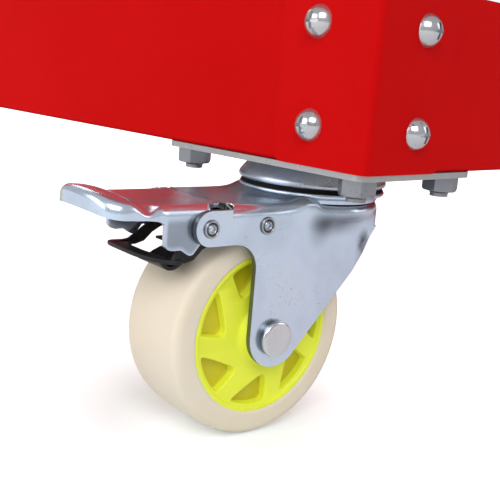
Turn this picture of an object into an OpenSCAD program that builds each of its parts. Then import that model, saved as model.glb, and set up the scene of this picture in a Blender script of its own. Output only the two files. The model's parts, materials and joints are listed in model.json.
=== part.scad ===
/* [Cart] */
// Length over the corner posts
cart_length = 850; // [560:1:1000]
// Width over the corner posts
cart_width = 440; // [300:1:600]
// Height from the floor of one tray to the floor of the next
tier_pitch = 310; // [180:1:420]
// Depth of each tray
tray_depth = 58; // [54:1:90]
/* [Sheet metal] */
// Thickness of the tray sheet
tray_sheet = 0.8; // [0.6:0.1:1.0]
// Outer radius of the bend between tray floor and wall
tray_bend = 1.5; // [1.2:0.1:2.4]
// Corner radius of a tray seen from above
tray_corner = 4; // [3.5:0.1:10]
// Height of the hem folded inwards at the rim
hem_height = 6; // [4:0.5:6]
// Width of each leg of a corner post
post_leg = 40; // [36:1:60]
// Thickness of the post sheet
post_sheet = 1.2; // [1:0.1:1.5]
// Outer radius of the post's bend
post_bend = 3; // [2.4:0.1:4]
// Radius that rounds the ends of each post leg
post_end_radius = 5; // [2:0.5:8]
/* [Tray screws] */
// Shank diameter of the tray screws
screw_d = 5; // [4:0.5:5]
// Diameter of the domed screw head
screw_head_d = 10.6; // [9:0.1:11.5]
// Height of the domed screw head
screw_head_h = 4.2; // [2.5:0.1:4.6]
// Distance of the screws from the post's corner
screw_inset = 24.2; // [22:0.1:25]
// Height of the lower screws above the tray's underside
screw_low = 13; // [11:0.5:16]
// Height of the upper screws above the tray's underside
screw_high = 45; // [42:0.5:45]
// Width across flats of the tray nuts
screw_nut_af = 8; // [7:0.5:8.5]
// Height of the tray nuts
screw_nut_h = 4; // [3:0.5:5]
/* [Push handle] */
// Diameter of the handle tube
handle_tube_d = 20; // [16:0.5:20]
// Wall of the handle tube
handle_wall = 1.5; // [1:0.1:2.5]
// Straight run of the tube out of its foot plate
handle_run = 12; // [5:1:40]
// Straight rise between the tube's lower and upper bend
handle_reach = 15; // [5:1:80]
// Radius of the tube bends at the middle of the tube
handle_bend = 40; // [34:1:60]
// Thickness of the foot plates
handle_foot_t = 3; // [2:0.5:5]
// Width of the foot plates
handle_foot_w = 30; // [26:1:32]
// Length of the grip
grip_length = 210; // [120:1:230]
// Wall of the grip
grip_wall = 4.5; // [3:0.5:8]
/* [Caster plate] */
// Size of the top plate along the cart
plate_x = 61.5; // [58:0.5:70]
// Size of the top plate across the cart
plate_y = 95.5; // [90:0.5:110]
// Thickness of the top plate
plate_t = 2; // [1.5:0.1:2.5]
// Gap from the plate's edges to the post's outer faces
plate_inset = 0.8; // [0.5:0.1:4]
// Spacing of the plate's bolts along the cart
bolt_x = 46.5; // [44:0.5:47]
// Spacing of the plate's bolts across the cart
bolt_y = 79.5; // [76:0.5:80]
// Diameter of the plate's bolts
bolt_d = 6.3; // [5:0.1:6.5]
// Width across flats of the plate's nuts
bolt_nut_af = 11; // [10:0.1:11]
// Height of the plate's nuts
bolt_nut_h = 5.5; // [4:0.1:6]
// Length of bolt that shows below the nut
bolt_end = 2; // [1:0.1:2.5]
// Diameter of the bolt heads inside the bottom tray
bolt_head_d = 10; // [9:0.1:10]
// Height of the bolt heads
bolt_head_h = 3.9; // [2:0.1:5]
/* [Caster wheel] */
// Diameter of the wheel
wheel_d = 75; // [70:0.5:75]
// Width of the wheel
wheel_w = 31; // [26:0.5:31]
// Distance of the axle behind the swivel axis
trail = 30; // [28:0.5:32]
// Depth of the axle below the tray
axle_drop = 59.7; // [59.5:0.1:64]
// Radius of the hub
hub_r = 28.8; // [27.5:0.1:29.5]
// Radius of the ring that the hub pockets reach out to
pocket_r = 26; // [24:0.1:26.5]
// Depth of the hub pockets
pocket_depth = 7; // [2:0.5:10]
// Number of hub pockets on each face
pocket_count = 7; // [3:1:8]
// Diameter of the axle
axle_d = 8; // [6:0.5:9]
// Diameter of the axle heads
axle_head_d = 12.6; // [11:0.1:14]
// Thickness of the axle heads
axle_head_t = 2.8; // [1:0.1:3]
/* [Caster fork] */
// Width over the fork's side plates
fork_w = 41; // [39:0.5:44]
// Thickness of the fork sheet
fork_t = 2; // [1.6:0.1:2.4]
// Depth of the fork's deck below the tray
deck_drop = 13.5; // [13:0.1:14.5]
// Radius of the fork's round end below the axle
leg_r = 11.3; // [10:0.1:12]
// Radius of the fork's back around the swivel axis
back_r = 24.7; // [22:0.1:26]
// Radius of the bend between deck and side
shoulder_r = 4; // [2.5:0.1:4.5]
// Depth of the horns' lower edge below the tray
horn_drop = 26.2; // [25.8:0.1:27]
/* [Swivel head] */
// Outer radius of the upper race cup
cup_r = 27; // [26:0.1:28]
// Diameter of the bearing balls
ball_d = 4.8; // [4.4:0.1:4.8]
// Number of bearing balls
ball_count = 22; // [12:1:24]
// Diameter of the kingpin
kingpin_d = 12; // [10:0.5:13]
/* [Brake] */
// Distance of the pedal's pin from the swivel axis
pedal_pin_x = 59.6; // [58:0.1:61]
// Distance of the lever rivets from the swivel axis
lever_pin_x = 37; // [36:0.1:38]
// Depth of both pins below the tray
brake_pin_drop = 20.5; // [20:0.1:21]
// Diameter of the brake pins
brake_pin_d = 4.4; // [4:0.1:4.8]
// Diameter of the rolled rims of the brake pins
brake_rim_d = 6.4; // [6:0.1:7.5]
// Width over the pedal
pedal_w = 36; // [34:0.5:36]
// Thickness of the pedal sheet
pedal_t = 1.6; // [1.2:0.1:1.8]
// Distance of the pedal's tip from the swivel axis
pedal_tip = 96.5; // [92:0.5:100]
// Depth of the pedal's front lip
pedal_lip = 6; // [4:0.1:6.5]
// Thickness of the brake lever's arms and plate
lever_t = 1.5; // [1.2:0.1:1.6]
// Width of the brake pad
pad_w = 22; // [14:0.5:24]
/* [Fits] */
// Radial clearance of a screw or bolt in its hole
hole_play = 0.3; // [0.2:0.05:0.6]
// Radial running clearance of a pin or shaft
run_play = 0.05; // [0.03:0.01:0.08]
// Side clearance between parts that turn past each other
side_play = 0.4; // [0.2:0.05:0.5]
/* [Hidden] */
$fn = 48;
eps = 0.01;
big = 400;

// Heights of the cart
base_z = axle_drop + wheel_d / 2;
tiers = [0, 1, 2];
rim_z = base_z + 2 * tier_pitch + tray_depth;
handle_z = base_z + 2 * tier_pitch + (screw_low + screw_high) / 2;

// Reach beyond the posts at each end, which centres the cart over its origin
grip_r = handle_tube_d / 2 + grip_wall;
handle_out = handle_foot_t + handle_run + handle_bend;
handle_lift = handle_reach + 2 * handle_bend;
left_reach = handle_out + grip_r;
axis_in_x = plate_inset + plate_x / 2;
axis_in_y = plate_inset + plate_y / 2;
right_reach = trail + wheel_d / 2 - axis_in_x;
centre_x = (left_reach - right_reach) / 2;

// Corners: sides along X and Y, swing of the caster at rest and whether it has a brake
front_left = [-1, -1, 174.8, true];
rear_left = [-1, 1, 185.2, true];
front_right = [1, -1, 0, false];
rear_right = [1, 1, 0, false];
corners = [front_left, rear_left, front_right, rear_right];
screw_heights = [screw_low, screw_high];

// Stack of a tray screw through post, tray wall and nut
screw_grip = post_sheet + tray_sheet;
screw_len = screw_grip + screw_nut_h + 1.5;

// Stack of the swivel head, measured down from the tray
ball_ring_r = 20.3;
ball_drop = 8.2;
groove_r = ball_d / 2 + run_play;
kingpin_flare = 1.2;
cup_low = 9.8;
cup_groove_low = 8.4;
cup_web = 2;
cup_bore_r = 16;
crown_top = 9.9;
crown_in_r = 15.2;
crown_rim_r = 25.3;
crown_root_r = 22.8;
axle_x = trail;
leg_x = trail - 1;
leg_drop = axle_drop - 0.7;

// Edges of the fork's side plates
leg_front = leg_x + leg_r;
back_x = -back_r - 1;
// Free edge below the round back: depth below the deck at a distance from the back
back_edge = [[0, 7.5], [10.5, 9.5], [13.4, 13.5], [16.3, 19.3], [20.7, 25.8]];
fillet_r = 9;
horn_r = horn_drop - brake_pin_drop;
horn_top = brake_pin_drop - horn_r;
deck_front = 51.6;
relief_d = 3.4;
fork_in = fork_w / 2 - fork_t;
plain_deck_h = 5;
bush_wall = 2;

// Shape of the hub pockets
pocket_foot_r = 15.2;
pocket_sweep = 41;
pocket_round_r = 3;

// Edges of the pedal
pedal_half = pedal_w / 2;
pedal_top = 12.6;
pedal_back = 53.2;
pedal_run_in = 30;
pedal_corner_r = 8;
pedal_crown_r = 45;
pedal_edge_r = 3.2;
pedal_dip = 0.6;
pedal_rise_x = pedal_tip - 11;
pedal_eye_r = 5.6;
ear_drop = 28;
ear_front = 74.2;
ear_back = 69;

// Edges of the brake lever
lever_top = ear_drop + 0.35;
lever_tip = 74.6;
lever_step_x = 51;
lever_plate_x = 58;
lever_half = 15.5;
lever_out = fork_in - side_play;
lever_eye_r = 4.2;
pad_low = 35.4;
pad_front = 72.5;

module annulus(r_out, r_in) {
    difference() {
        circle(r = r_out);
        circle(r = r_in);
    }
}

// Section of a tray's edge: x is the distance in from the outer face, y the height
module tray_edge() {
    fold_r = tray_sheet + 0.2;
    top = tray_depth - fold_r;
    intersection() {
        translate([tray_bend, tray_bend]) annulus(tray_bend, tray_bend - tray_sheet);
        square(tray_bend);
    }
    translate([0, tray_bend]) square([tray_sheet, top - tray_bend]);
    intersection() {
        translate([fold_r, top]) annulus(fold_r, fold_r - tray_sheet);
        translate([0, top]) square([2 * fold_r, fold_r]);
    }
    translate([2 * fold_r - tray_sheet, tray_depth - hem_height])
        square([tray_sheet, top - tray_depth + hem_height]);
    translate([tray_bend, 0]) square([tray_corner - tray_bend, tray_sheet]);
}

module tray(level) {
    long = cart_length - 2 * post_sheet;
    wide = cart_width - 2 * post_sheet;
    flat_x = long - 2 * tray_corner;
    flat_y = wide - 2 * tray_corner;
    color("firebrick") translate([centre_x, 0, base_z + level * tier_pitch]) difference() {
        union() {
            translate([-flat_x / 2, -flat_y / 2, 0]) cube([flat_x, flat_y, tray_sheet]);
            for (s = [-1, 1]) {
                translate([0, s * wide / 2, 0]) rotate([0, 0, s < 0 ? 0 : 180])
                    translate([-flat_x / 2, 0, 0]) rotate([90, 0, 90]) linear_extrude(flat_x) tray_edge();
                translate([s * long / 2, 0, 0]) rotate([0, 0, s < 0 ? -90 : 90])
                    translate([-flat_y / 2, 0, 0]) rotate([90, 0, 90]) linear_extrude(flat_y) tray_edge();
            }
            for (k = [0:3]) {
                sx = (k == 0 || k == 3) ? 1 : -1;
                sy = k < 2 ? 1 : -1;
                translate([sx * flat_x / 2, sy * flat_y / 2, 0]) rotate([0, 0, k * 90])
                    rotate_extrude(angle = 90) translate([tray_corner, 0]) mirror([1, 0]) tray_edge();
            }
        }
        for (c = corners) corner_at(c) screw_holes(0);
        if (level == 0) for (c = corners) caster_at(c) each_bolt() translate([0, 0, -base_z - 2])
            cylinder(d = bolt_d + 2 * hole_play, h = big, $fn = 32);
    }
}

// Places a child modelled for the front left corner: origin on the corner line at floor level
module corner_at(c) {
    translate([c[0] * cart_length / 2, c[1] * cart_width / 2, 0])
        mirror([c[0] > 0 ? 1 : 0, 0, 0]) mirror([0, c[1] > 0 ? 1 : 0, 0]) children();
}

// Places a child at a caster's swivel axis, level with the underside of the bottom tray
module caster_at(c) {
    translate([c[0] * (cart_length / 2 - axis_in_x), c[1] * (cart_width / 2 - axis_in_y), base_z]) children();
}

module screw_hole() {
    translate([0, 0, -10]) cylinder(d = screw_d + 2 * hole_play, h = 20, $fn = 32);
}

// A hole through both legs at each screw height, from outside to well inside
module screw_holes(z) {
    for (h = screw_heights) {
        translate([0, screw_inset, z + h]) rotate([0, 90, 0]) screw_hole();
        translate([screw_inset, 0, z + h]) rotate([90, 0, 0]) screw_hole();
    }
}

// A leg of the angle post seen from its own side, with both ends rounded at the free edge
module post_leg_shape(height) {
    r = post_end_radius;
    square([post_leg - r, height]);
    translate([0, r]) square([post_leg, height - 2 * r]);
    for (z = [r, height - r]) translate([post_leg - r, z]) circle(r = r);
}

module post(c) {
    height = rim_z - base_z;
    bend_in = post_bend + eps;
    color("firebrick") translate([centre_x, 0, base_z]) corner_at(c) difference() {
        intersection() {
            linear_extrude(height) difference() {
                union() {
                    translate([post_bend, post_bend]) circle(r = post_bend);
                    translate([post_bend, 0]) square([post_leg - post_bend, post_sheet]);
                    translate([0, post_bend]) square([post_sheet, post_leg - post_bend]);
                }
                translate([post_bend, post_bend]) circle(r = post_bend - post_sheet);
                translate([post_bend, post_sheet]) square(post_leg);
                translate([post_sheet, post_bend]) square(post_leg);
            }
            union() {
                translate([0, bend_in, 0]) rotate([90, 0, 0]) linear_extrude(bend_in) post_leg_shape(height);
                rotate([90, 0, 90]) linear_extrude(bend_in) post_leg_shape(height);
            }
        }
        for (level = tiers) screw_holes(level * tier_pitch);
    }
}

// A domed screw whose head seats at z = 0 and points up
module dome_screw(length) {
    ball = (screw_head_d * screw_head_d / 4 + screw_head_h * screw_head_h) / (2 * screw_head_h);
    slot_l = 5.2;
    slot_w = 1.1;
    slot_depth = 1.8;
    difference() {
        union() {
            rotate_extrude($fn = 40) intersection() {
                translate([0, screw_head_h - ball]) circle(r = ball, $fn = 80);
                square([screw_head_d / 2, screw_head_h]);
            }
            translate([0, 0, -length]) cylinder(d = screw_d, h = length + eps, $fn = 24);
        }
        for (a = [0, 90]) rotate([0, 0, a]) translate([-slot_l / 2, -slot_w / 2, screw_head_h - slot_depth])
            cube([slot_l, slot_w, 2 * slot_depth]);
    }
}

module hex_nut(af, h, bore_d) {
    difference() {
        intersection() {
            cylinder(d = af / cos(30), h = h, $fn = 6);
            translate([0, 0, h / 2]) rotate_extrude($fn = 40) polygon([
                [0, -h / 2], [af / 2 * 1.02, -h / 2], [af / 2 * 1.16, -h / 2 + 0.6],
                [af / 2 * 1.16, h / 2 - 0.6], [af / 2 * 1.02, h / 2], [0, h / 2]
            ]);
        }
        translate([0, 0, -1]) cylinder(d = bore_d, h = h + 2, $fn = 32);
    }
}

// The screws on the end face of the top tray at the handle's end pass through its foot plates
function has_foot(c, level) = c[0] < 0 && level == 2;

module tray_screws() {
    color("silver") translate([centre_x, 0, base_z])
        for (c = corners) for (level = tiers) for (h = screw_heights)
        corner_at(c) translate([0, 0, level * tier_pitch + h]) {
            if (!has_foot(c, level)) translate([0, screw_inset, 0]) rotate([0, -90, 0]) dome_screw(screw_len);
            translate([screw_inset, 0, 0]) rotate([90, 0, 0]) dome_screw(screw_len);
        }
}

module handle_screws() {
    color("silver") translate([centre_x, 0, base_z]) for (c = [front_left, rear_left]) for (h = screw_heights)
        corner_at(c) translate([-handle_foot_t, screw_inset, 2 * tier_pitch + h])
            rotate([0, -90, 0]) dome_screw(screw_len + handle_foot_t);
}

module tray_nuts() {
    bore = screw_d + 2 * run_play;
    color("silver") translate([centre_x, 0, base_z])
        for (c = corners) for (level = tiers) for (h = screw_heights)
        corner_at(c) translate([0, 0, level * tier_pitch + h]) {
            translate([screw_grip, screw_inset, 0]) rotate([0, 90, 0])
                hex_nut(screw_nut_af, screw_nut_h, bore);
            translate([screw_inset, screw_grip, 0]) rotate([-90, 0, 0])
                hex_nut(screw_nut_af, screw_nut_h, bore);
        }
}

// One quarter bend of the handle's tube, from the +x side of its centre to the +y side
module handle_elbow(r) {
    rotate_extrude(angle = 90) translate([handle_bend, 0]) circle(r = r);
}

// One leg of the handle's tube: x = 0 is the post's face and the level run starts at x = start
module handle_leg(r, start) {
    foot_out = handle_foot_t + handle_run;
    translate([start, 0, 0]) rotate([0, -90, 0]) cylinder(r = r, h = start + foot_out);
    translate([-foot_out, 0, handle_bend]) rotate([90, 0, 0]) rotate([0, 0, 180]) handle_elbow(r);
    translate([-handle_out, 0, handle_bend]) cylinder(r = r, h = handle_reach);
    translate([-handle_out, handle_bend, handle_bend + handle_reach]) rotate([90, 0, 90])
        rotate([0, 0, 90]) handle_elbow(r);
}

module handle_tube(r, start) {
    half_bar = cart_width / 2 - screw_inset - handle_bend;
    for (c = [front_left, rear_left]) corner_at(c) translate([0, screw_inset, handle_z]) handle_leg(r, start);
    translate([-cart_length / 2 - handle_out, -half_bar, handle_z + handle_lift]) rotate([-90, 0, 0])
        cylinder(r = r, h = 2 * half_bar);
}

module handle_foot() {
    round_r = handle_foot_w * 0.4;
    foot_h = screw_high - screw_low + 2 * round_r;
    rotate([0, -90, 0]) linear_extrude(handle_foot_t) rounded_rect(foot_h, handle_foot_w, round_r);
}

module handle_bar() {
    color("firebrick") translate([centre_x, 0, 0]) difference() {
        union() {
            handle_tube(handle_tube_d / 2, -handle_foot_t / 2);
            for (c = [front_left, rear_left]) corner_at(c)
                translate([0, screw_inset, handle_z]) handle_foot();
        }
        // The bore runs out through both foot plates
        handle_tube(handle_tube_d / 2 - handle_wall, 1);
        for (c = [front_left, rear_left]) corner_at(c) for (h = screw_heights)
            translate([0, screw_inset, base_z + 2 * tier_pitch + h]) rotate([0, 90, 0]) screw_hole();
    }
}

module handle_grip() {
    groove_pitch = 10;
    color([0.08, 0.08, 0.08])
        translate([centre_x - cart_length / 2 - handle_out, -grip_length / 2, handle_z + handle_lift])
        rotate([-90, 0, 0]) difference() {
            rotate_extrude() difference() {
                square([grip_r, grip_length]);
                for (y = [0, grip_length]) translate([grip_r, y]) circle(r = 2, $fn = 32);
                for (y = [groove_pitch:groove_pitch:grip_length - groove_pitch])
                    translate([grip_r + 1.2, y]) circle(r = 2, $fn = 24);
            }
            translate([0, 0, -1]) cylinder(d = handle_tube_d + 2 * run_play, h = grip_length + 2);
        }
}

module each_bolt() {
    for (sx = [-1, 1]) for (sy = [-1, 1]) translate([sx * bolt_x / 2, sy * bolt_y / 2, 0]) children();
}

module caster_bolts() {
    shank = tray_sheet + plate_t + bolt_nut_h + bolt_end;
    color("silver") translate([centre_x, 0, 0]) for (c = corners) caster_at(c) each_bolt() difference() {
        union() {
            translate([0, 0, tray_sheet]) cylinder(d = bolt_head_d, h = bolt_head_h, $fn = 40);
            translate([0, 0, tray_sheet - shank]) cylinder(d = bolt_d, h = shank + eps, $fn = 32);
        }
        translate([-bolt_head_d, -0.6, tray_sheet + bolt_head_h - 1.4]) cube([2 * bolt_head_d, 1.2, 2]);
    }
}

module caster_nuts() {
    color("silver") translate([centre_x, 0, 0]) for (c = corners) caster_at(c) each_bolt()
        translate([0, 0, -plate_t - bolt_nut_h]) hex_nut(bolt_nut_af, bolt_nut_h, bolt_d + 2 * run_play);
}

module rounded_rect(x, y, r) {
    square([x - 2 * r, y], center = true);
    square([x, y - 2 * r], center = true);
    for (sx = [-1, 1]) for (sy = [-1, 1]) translate([sx * (x / 2 - r), sy * (y / 2 - r)]) circle(r = r);
}

module plate(c) {
    pin_hole = kingpin_d + 2 * run_play;
    color("gainsboro") translate([centre_x, 0, 0]) caster_at(c) translate([0, 0, -plate_t]) difference() {
        linear_extrude(plate_t) rounded_rect(plate_x, plate_y, 4.5);
        each_bolt() translate([0, 0, -1]) cylinder(d = bolt_d + 2 * hole_play, h = plate_t + 2, $fn = 32);
        // Countersunk seat of the kingpin
        translate([0, 0, -1]) cylinder(d = pin_hole, h = plate_t + 2);
        translate([0, 0, plate_t - kingpin_flare])
            cylinder(d1 = pin_hole, d2 = pin_hole + 2.5, h = kingpin_flare + eps);
    }
}

module race_cup(c) {
    color("gainsboro") translate([centre_x, 0, 0]) caster_at(c) difference() {
        rotate_extrude($fn = 96) difference() {
            polygon([
                [kingpin_d / 2 + run_play, -plate_t], [cup_r - 6.2, -plate_t], [cup_r - 3.6, -plate_t - 1.3],
                [cup_r - 0.7, -6.2], [cup_r, -7.5], [cup_r - 0.5, -8.8], [cup_r - 1.6, -cup_low],
                [cup_r - 3.1, -cup_low], [cup_r - 3.6, -cup_groove_low], [cup_bore_r + 1.4, -cup_groove_low],
                [cup_bore_r, -plate_t - cup_web], [kingpin_d / 2 + run_play, -plate_t - cup_web]
            ]);
            translate([ball_ring_r, -ball_drop]) circle(r = groove_r);
        }
    }
}

module kingpin(c) {
    r = kingpin_d / 2;
    foot = deck_drop + fork_t + run_play;
    color("gainsboro") translate([centre_x, 0, 0]) caster_at(c) rotate_extrude() polygon([
        [0, -run_play], [r + kingpin_flare, -run_play], [r, -kingpin_flare], [r, -foot], [r + 5.5, -foot],
        [r + 6, -foot - 1],
        [r + 4, -foot - 2.6], [r, -foot - 3.4], [0, -foot - 3.6]
    ]);
}

// Children are modelled with x towards the wheel, and z = 0 at the underside of the bottom tray
module swivel_at(c) {
    translate([centre_x, 0, 0]) caster_at(c) rotate([0, 0, c[2]]) children();
}

module balls(c) {
    color("silver") swivel_at(c) for (k = [0:ball_count - 1]) rotate([0, 0, (k + 0.5) * 360 / ball_count])
        translate([ball_ring_r, 0, -ball_drop]) sphere(d = ball_d, $fn = 24);
}

// Outline of the fork's sides: x is the distance from the swivel axis, y the height
module fork_outline(braked) {
    tangent = leg_r / sqrt(2);
    polygon([
        [leg_front, -leg_drop], [leg_front, -deck_drop], [back_x, -deck_drop],
        each [for (p = back_edge) [back_x + p[0], -deck_drop - p[1]]],
        [leg_x - tangent, -leg_drop - tangent]
    ]);
    translate([leg_x, -leg_drop]) circle(r = leg_r, $fn = 64);
    if (braked) {
        translate([leg_front - 1, -horn_drop]) square([pedal_pin_x - leg_front + 1, 2 * horn_r]);
        translate([pedal_pin_x, -brake_pin_drop]) circle(r = horn_r);
        translate([leg_front - 1, -horn_top]) square([deck_front - leg_front + 1, horn_top - deck_drop]);
        difference() {
            translate([leg_front - 1, -horn_drop - fillet_r]) square([fillet_r + 1, fillet_r + 1]);
            translate([leg_front + fillet_r, -horn_drop - fillet_r]) circle(r = fillet_r);
        }
    }
    if (!braked) {
        fillet_low = -deck_drop - plain_deck_h - fillet_r;
        translate([leg_front - 1, -deck_drop - plain_deck_h]) square([fillet_r + 1, plain_deck_h]);
        difference() {
            translate([leg_front - 1, fillet_low]) square([fillet_r + 1, fillet_r + eps]);
            translate([leg_front + fillet_r, fillet_low]) circle(r = fillet_r);
        }
    }
}

// Plan of the fork's hood, with its round back about the swivel axis
module fork_plan(half, back, front) {
    intersection() {
        translate([-back - 1, -half]) square([back + 1 + front, 2 * half]);
        union() {
            circle(r = back, $fn = 96);
            translate([0, -half]) square([front, 2 * half]);
        }
    }
}

// Section across the fork: flat top with rounded shoulders
module shoulder_section(half, top, r) {
    translate([-half, -big]) square([2 * half, big - top - r]);
    translate([-half + r, -top - r - eps]) square([2 * half - 2 * r, r + eps]);
    for (s = [-1, 1]) translate([s * (half - r), -top - r]) circle(r = r);
}

module hood(half, back, front, top, r) {
    intersection() {
        translate([0, 0, -big / 2]) linear_extrude(big / 2) fork_plan(half, back, front);
        translate([-back - 1, 0, 0]) rotate([90, 0, 90]) linear_extrude(back + 1 + front)
            shoulder_section(half, top, r);
    }
}

module fork(c) {
    braked = c[3];
    front = braked ? deck_front : leg_front + fillet_r;
    color("lightsteelblue") swivel_at(c) difference() {
        union() {
            // Hood of deck, sides and round back
            intersection() {
                difference() {
                    hood(fork_w / 2, back_r, front, deck_drop, shoulder_r);
                    hood(fork_in, back_r - fork_t, front + 5, deck_drop + fork_t, shoulder_r - fork_t);
                }
                translate([0, fork_w / 2, 0]) rotate([90, 0, 0]) linear_extrude(fork_w) fork_outline(braked);
            }
            // Horns that run on past the deck
            if (braked) for (s = [-1, 1]) translate([0, s * (fork_in + fork_t / 2) + fork_t / 2, 0])
                rotate([90, 0, 0]) linear_extrude(fork_t) intersection() {
                    fork_outline(true);
                    translate([deck_front - 3, -big]) square([big, big - horn_top]);
                }
            // Pressed crown with the lower ball race
            rotate_extrude($fn = 96) difference() {
                polygon([
                    [kingpin_d / 2 + run_play, -deck_drop - fork_t], [kingpin_d / 2 + run_play, -deck_drop],
                    [crown_in_r, -deck_drop], [crown_in_r + 1.2, -crown_top], [ball_ring_r + 2.6, -crown_top],
                    [ball_ring_r + 3.3, -crown_top - 1.1],
                    [crown_rim_r - 0.3, -crown_top - 1.7], [crown_rim_r, -crown_top - 2.7],
                    [crown_rim_r - 0.7, -deck_drop - 0.3],
                    [crown_root_r, -deck_drop - 1.7], [crown_root_r, -deck_drop - fork_t]
                ]);
                translate([ball_ring_r, -ball_drop]) circle(r = groove_r);
            }
        }
        translate([0, 0, -big / 2]) cylinder(d = kingpin_d + 2 * run_play, h = big / 2);
        translate([axle_x, big / 2, -axle_drop]) rotate([90, 0, 0])
            cylinder(d = axle_d + 2 * run_play, h = big);
        if (braked) {
            for (x = [pedal_pin_x, lever_pin_x]) translate([x, big / 2, -brake_pin_drop]) rotate([90, 0, 0])
                cylinder(d = brake_pin_d + 2 * run_play, h = big, $fn = 32);
            // Relief holes where the horns leave the deck
            for (s = [-1, 1]) for (x = [0, relief_d / 2, relief_d])
                translate([deck_front - relief_d + x, s * (fork_w / 2 - 2.2), -deck_drop - 1.4])
                rotate([-s * 40, 0, 0]) translate([0, 0, -5]) cylinder(d = relief_d, h = 10, $fn = 32);
        }
    }
}

module axle(c) {
    half = fork_w / 2;
    r = axle_d / 2;
    head_r = axle_head_d / 2;
    end = half + axle_head_t;
    color("gainsboro") swivel_at(c) translate([axle_x, 0, -axle_drop]) rotate([90, 0, 0])
        rotate_extrude() polygon([
            [0, -end], [head_r - 0.8, -end], [head_r, -end + 0.8], [head_r, -half], [r, -half],
            [r, half], [head_r, half], [head_r, end - 0.8], [head_r - 0.8, end], [0, end]
        ]);
}

module bush(c) {
    color("silver") swivel_at(c) translate([axle_x, fork_in - run_play, -axle_drop]) rotate([90, 0, 0])
        difference() {
            cylinder(r = axle_d / 2 + bush_wall, h = 2 * (fork_in - run_play));
            translate([0, 0, -1]) cylinder(d = axle_d + 2 * run_play, h = fork_w);
        }
}

// Half section of the tread: x is the radius, y the distance across
module tyre_section() {
    r = wheel_d / 2;
    h = wheel_w / 2;
    crown = 120;
    round_r = 3.5;
    edge = r - 0.9 - round_r;
    intersection() {
        translate([0, -h]) square([r, 2 * h]);
        translate([r - crown, 0]) circle(r = crown, $fn = 720);
        union() {
            translate([0, -h + round_r]) square([r + 1, 2 * h - 2 * round_r]);
            translate([0, -h]) square([edge, 2 * h]);
            for (s = [-1, 1]) translate([edge, s * (h - round_r)]) circle(r = round_r);
        }
    }
}

module tyre(c) {
    color("linen") swivel_at(c) translate([axle_x, 0, -axle_drop]) rotate([90, 0, 0]) rotate_extrude($fn = 96)
        difference() {
            tyre_section();
            translate([0, -wheel_w]) square([hub_r, 2 * wheel_w]);
        }
}

// A pinwheel pocket: a straight inner edge from its tip on the ring to its round foot near the boss
module pocket_shape() {
    tip = [pocket_r, 0];
    foot = pocket_foot_r * [cos(pocket_sweep), sin(pocket_sweep)];
    out = 1.6 * pocket_r * [cos(pocket_sweep - 8), sin(pocket_sweep - 8)];
    to_tip = (tip - foot) / norm(tip - foot);
    to_out = (out - foot) / norm(out - foot);
    half_angle = acos(to_tip * to_out) / 2;
    cut = pocket_round_r / tan(half_angle);
    centre = foot + (to_tip + to_out) / norm(to_tip + to_out) * pocket_round_r / sin(half_angle);
    intersection() {
        circle(r = pocket_r, $fn = 96);
        union() {
            polygon([tip, foot + cut * to_tip, foot + cut * to_out, out, [1.6 * pocket_r, 0.3]]);
            translate(centre) circle(r = pocket_round_r);
        }
    }
}

module hub(c) {
    face = wheel_w / 2 - 1.1;
    boss = fork_in - side_play;
    bore_r = axle_d / 2 + bush_wall + run_play;
    pocket_turn = 11.4;
    color("greenyellow") swivel_at(c) translate([axle_x, 0, -axle_drop]) rotate([90, 0, 0]) difference() {
        rotate_extrude($fn = 96) polygon([
            [bore_r, -boss], [axle_d / 2 + 5, -boss], [axle_d / 2 + 6.5, -face],
            [hub_r - 2.4, -face], [hub_r - 1.9, -face - 0.6], [hub_r - run_play, -face - 0.6],
            [hub_r - run_play, face + 0.6], [hub_r - 1.9, face + 0.6], [hub_r - 2.4, face],
            [axle_d / 2 + 6.5, face], [axle_d / 2 + 5, boss], [bore_r, boss]
        ]);
        for (k = [0:pocket_count - 1]) {
            rotate([0, 0, k * 360 / pocket_count + pocket_turn]) translate([0, 0, face - pocket_depth])
                linear_extrude(big) pocket_shape();
            rotate([0, 0, k * 360 / pocket_count - pocket_turn]) translate([0, 0, -big + pocket_depth - face])
                mirror([0, 1, 0]) linear_extrude(big) pocket_shape();
        }
    }
}

// Plan of the pedal, drawn in by a wall, with a crowned front and round corners
module pedal_plan(inset) {
    half = pedal_half - inset;
    r = pedal_corner_r - inset;
    big_r = pedal_crown_r - inset;
    crown_x = pedal_tip - pedal_crown_r;
    side = pedal_half - pedal_corner_r;
    reach = sqrt(pow(pedal_crown_r - pedal_corner_r, 2) - side * side);
    corner_x = crown_x + reach;
    translate([pedal_back - pedal_run_in, -half]) square([corner_x - pedal_back + pedal_run_in, 2 * half]);
    for (s = [-1, 1]) translate([corner_x, s * side]) circle(r = r, $fn = 64);
    intersection() {
        translate([crown_x, 0]) circle(r = big_r, $fn = 180);
        polygon([[crown_x, 0], [crown_x + 1.6 * reach, 1.6 * side], [crown_x + 1.6 * reach, -1.6 * side]]);
    }
}

// Side view of the pedal's skirt: front lip and ear with its notch
module pedal_side() {
    lip_low = pedal_top + pedal_lip;
    polygon([
        [pedal_back, -pedal_top - pedal_dip], [ear_front, -pedal_top - pedal_dip],
        [pedal_rise_x, -pedal_top + 0.4], [pedal_tip + 1, -pedal_top + 1.8],
        [pedal_tip + 1, -lip_low + 1.2], [pedal_tip - 7, -lip_low + 0.4],
        [pedal_tip - 14, -lip_low - 0.2], [ear_front + 2.3, -lip_low + 1.6], [ear_front, -lip_low + 0.2],
        [ear_front, -ear_drop + 1.6], [ear_front - 1.6, -ear_drop], [ear_back, -ear_drop],
        [ear_back - 1.6, -ear_drop - 1], [ear_back - 3.4, -ear_drop - 1.9], [ear_back - 4.6, -ear_drop - 1.8],
        [pedal_pin_x + 1.8, -brake_pin_drop - 5.3], [pedal_pin_x, -brake_pin_drop],
        [pedal_back, -pedal_top - 3]
    ]);
}

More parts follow.
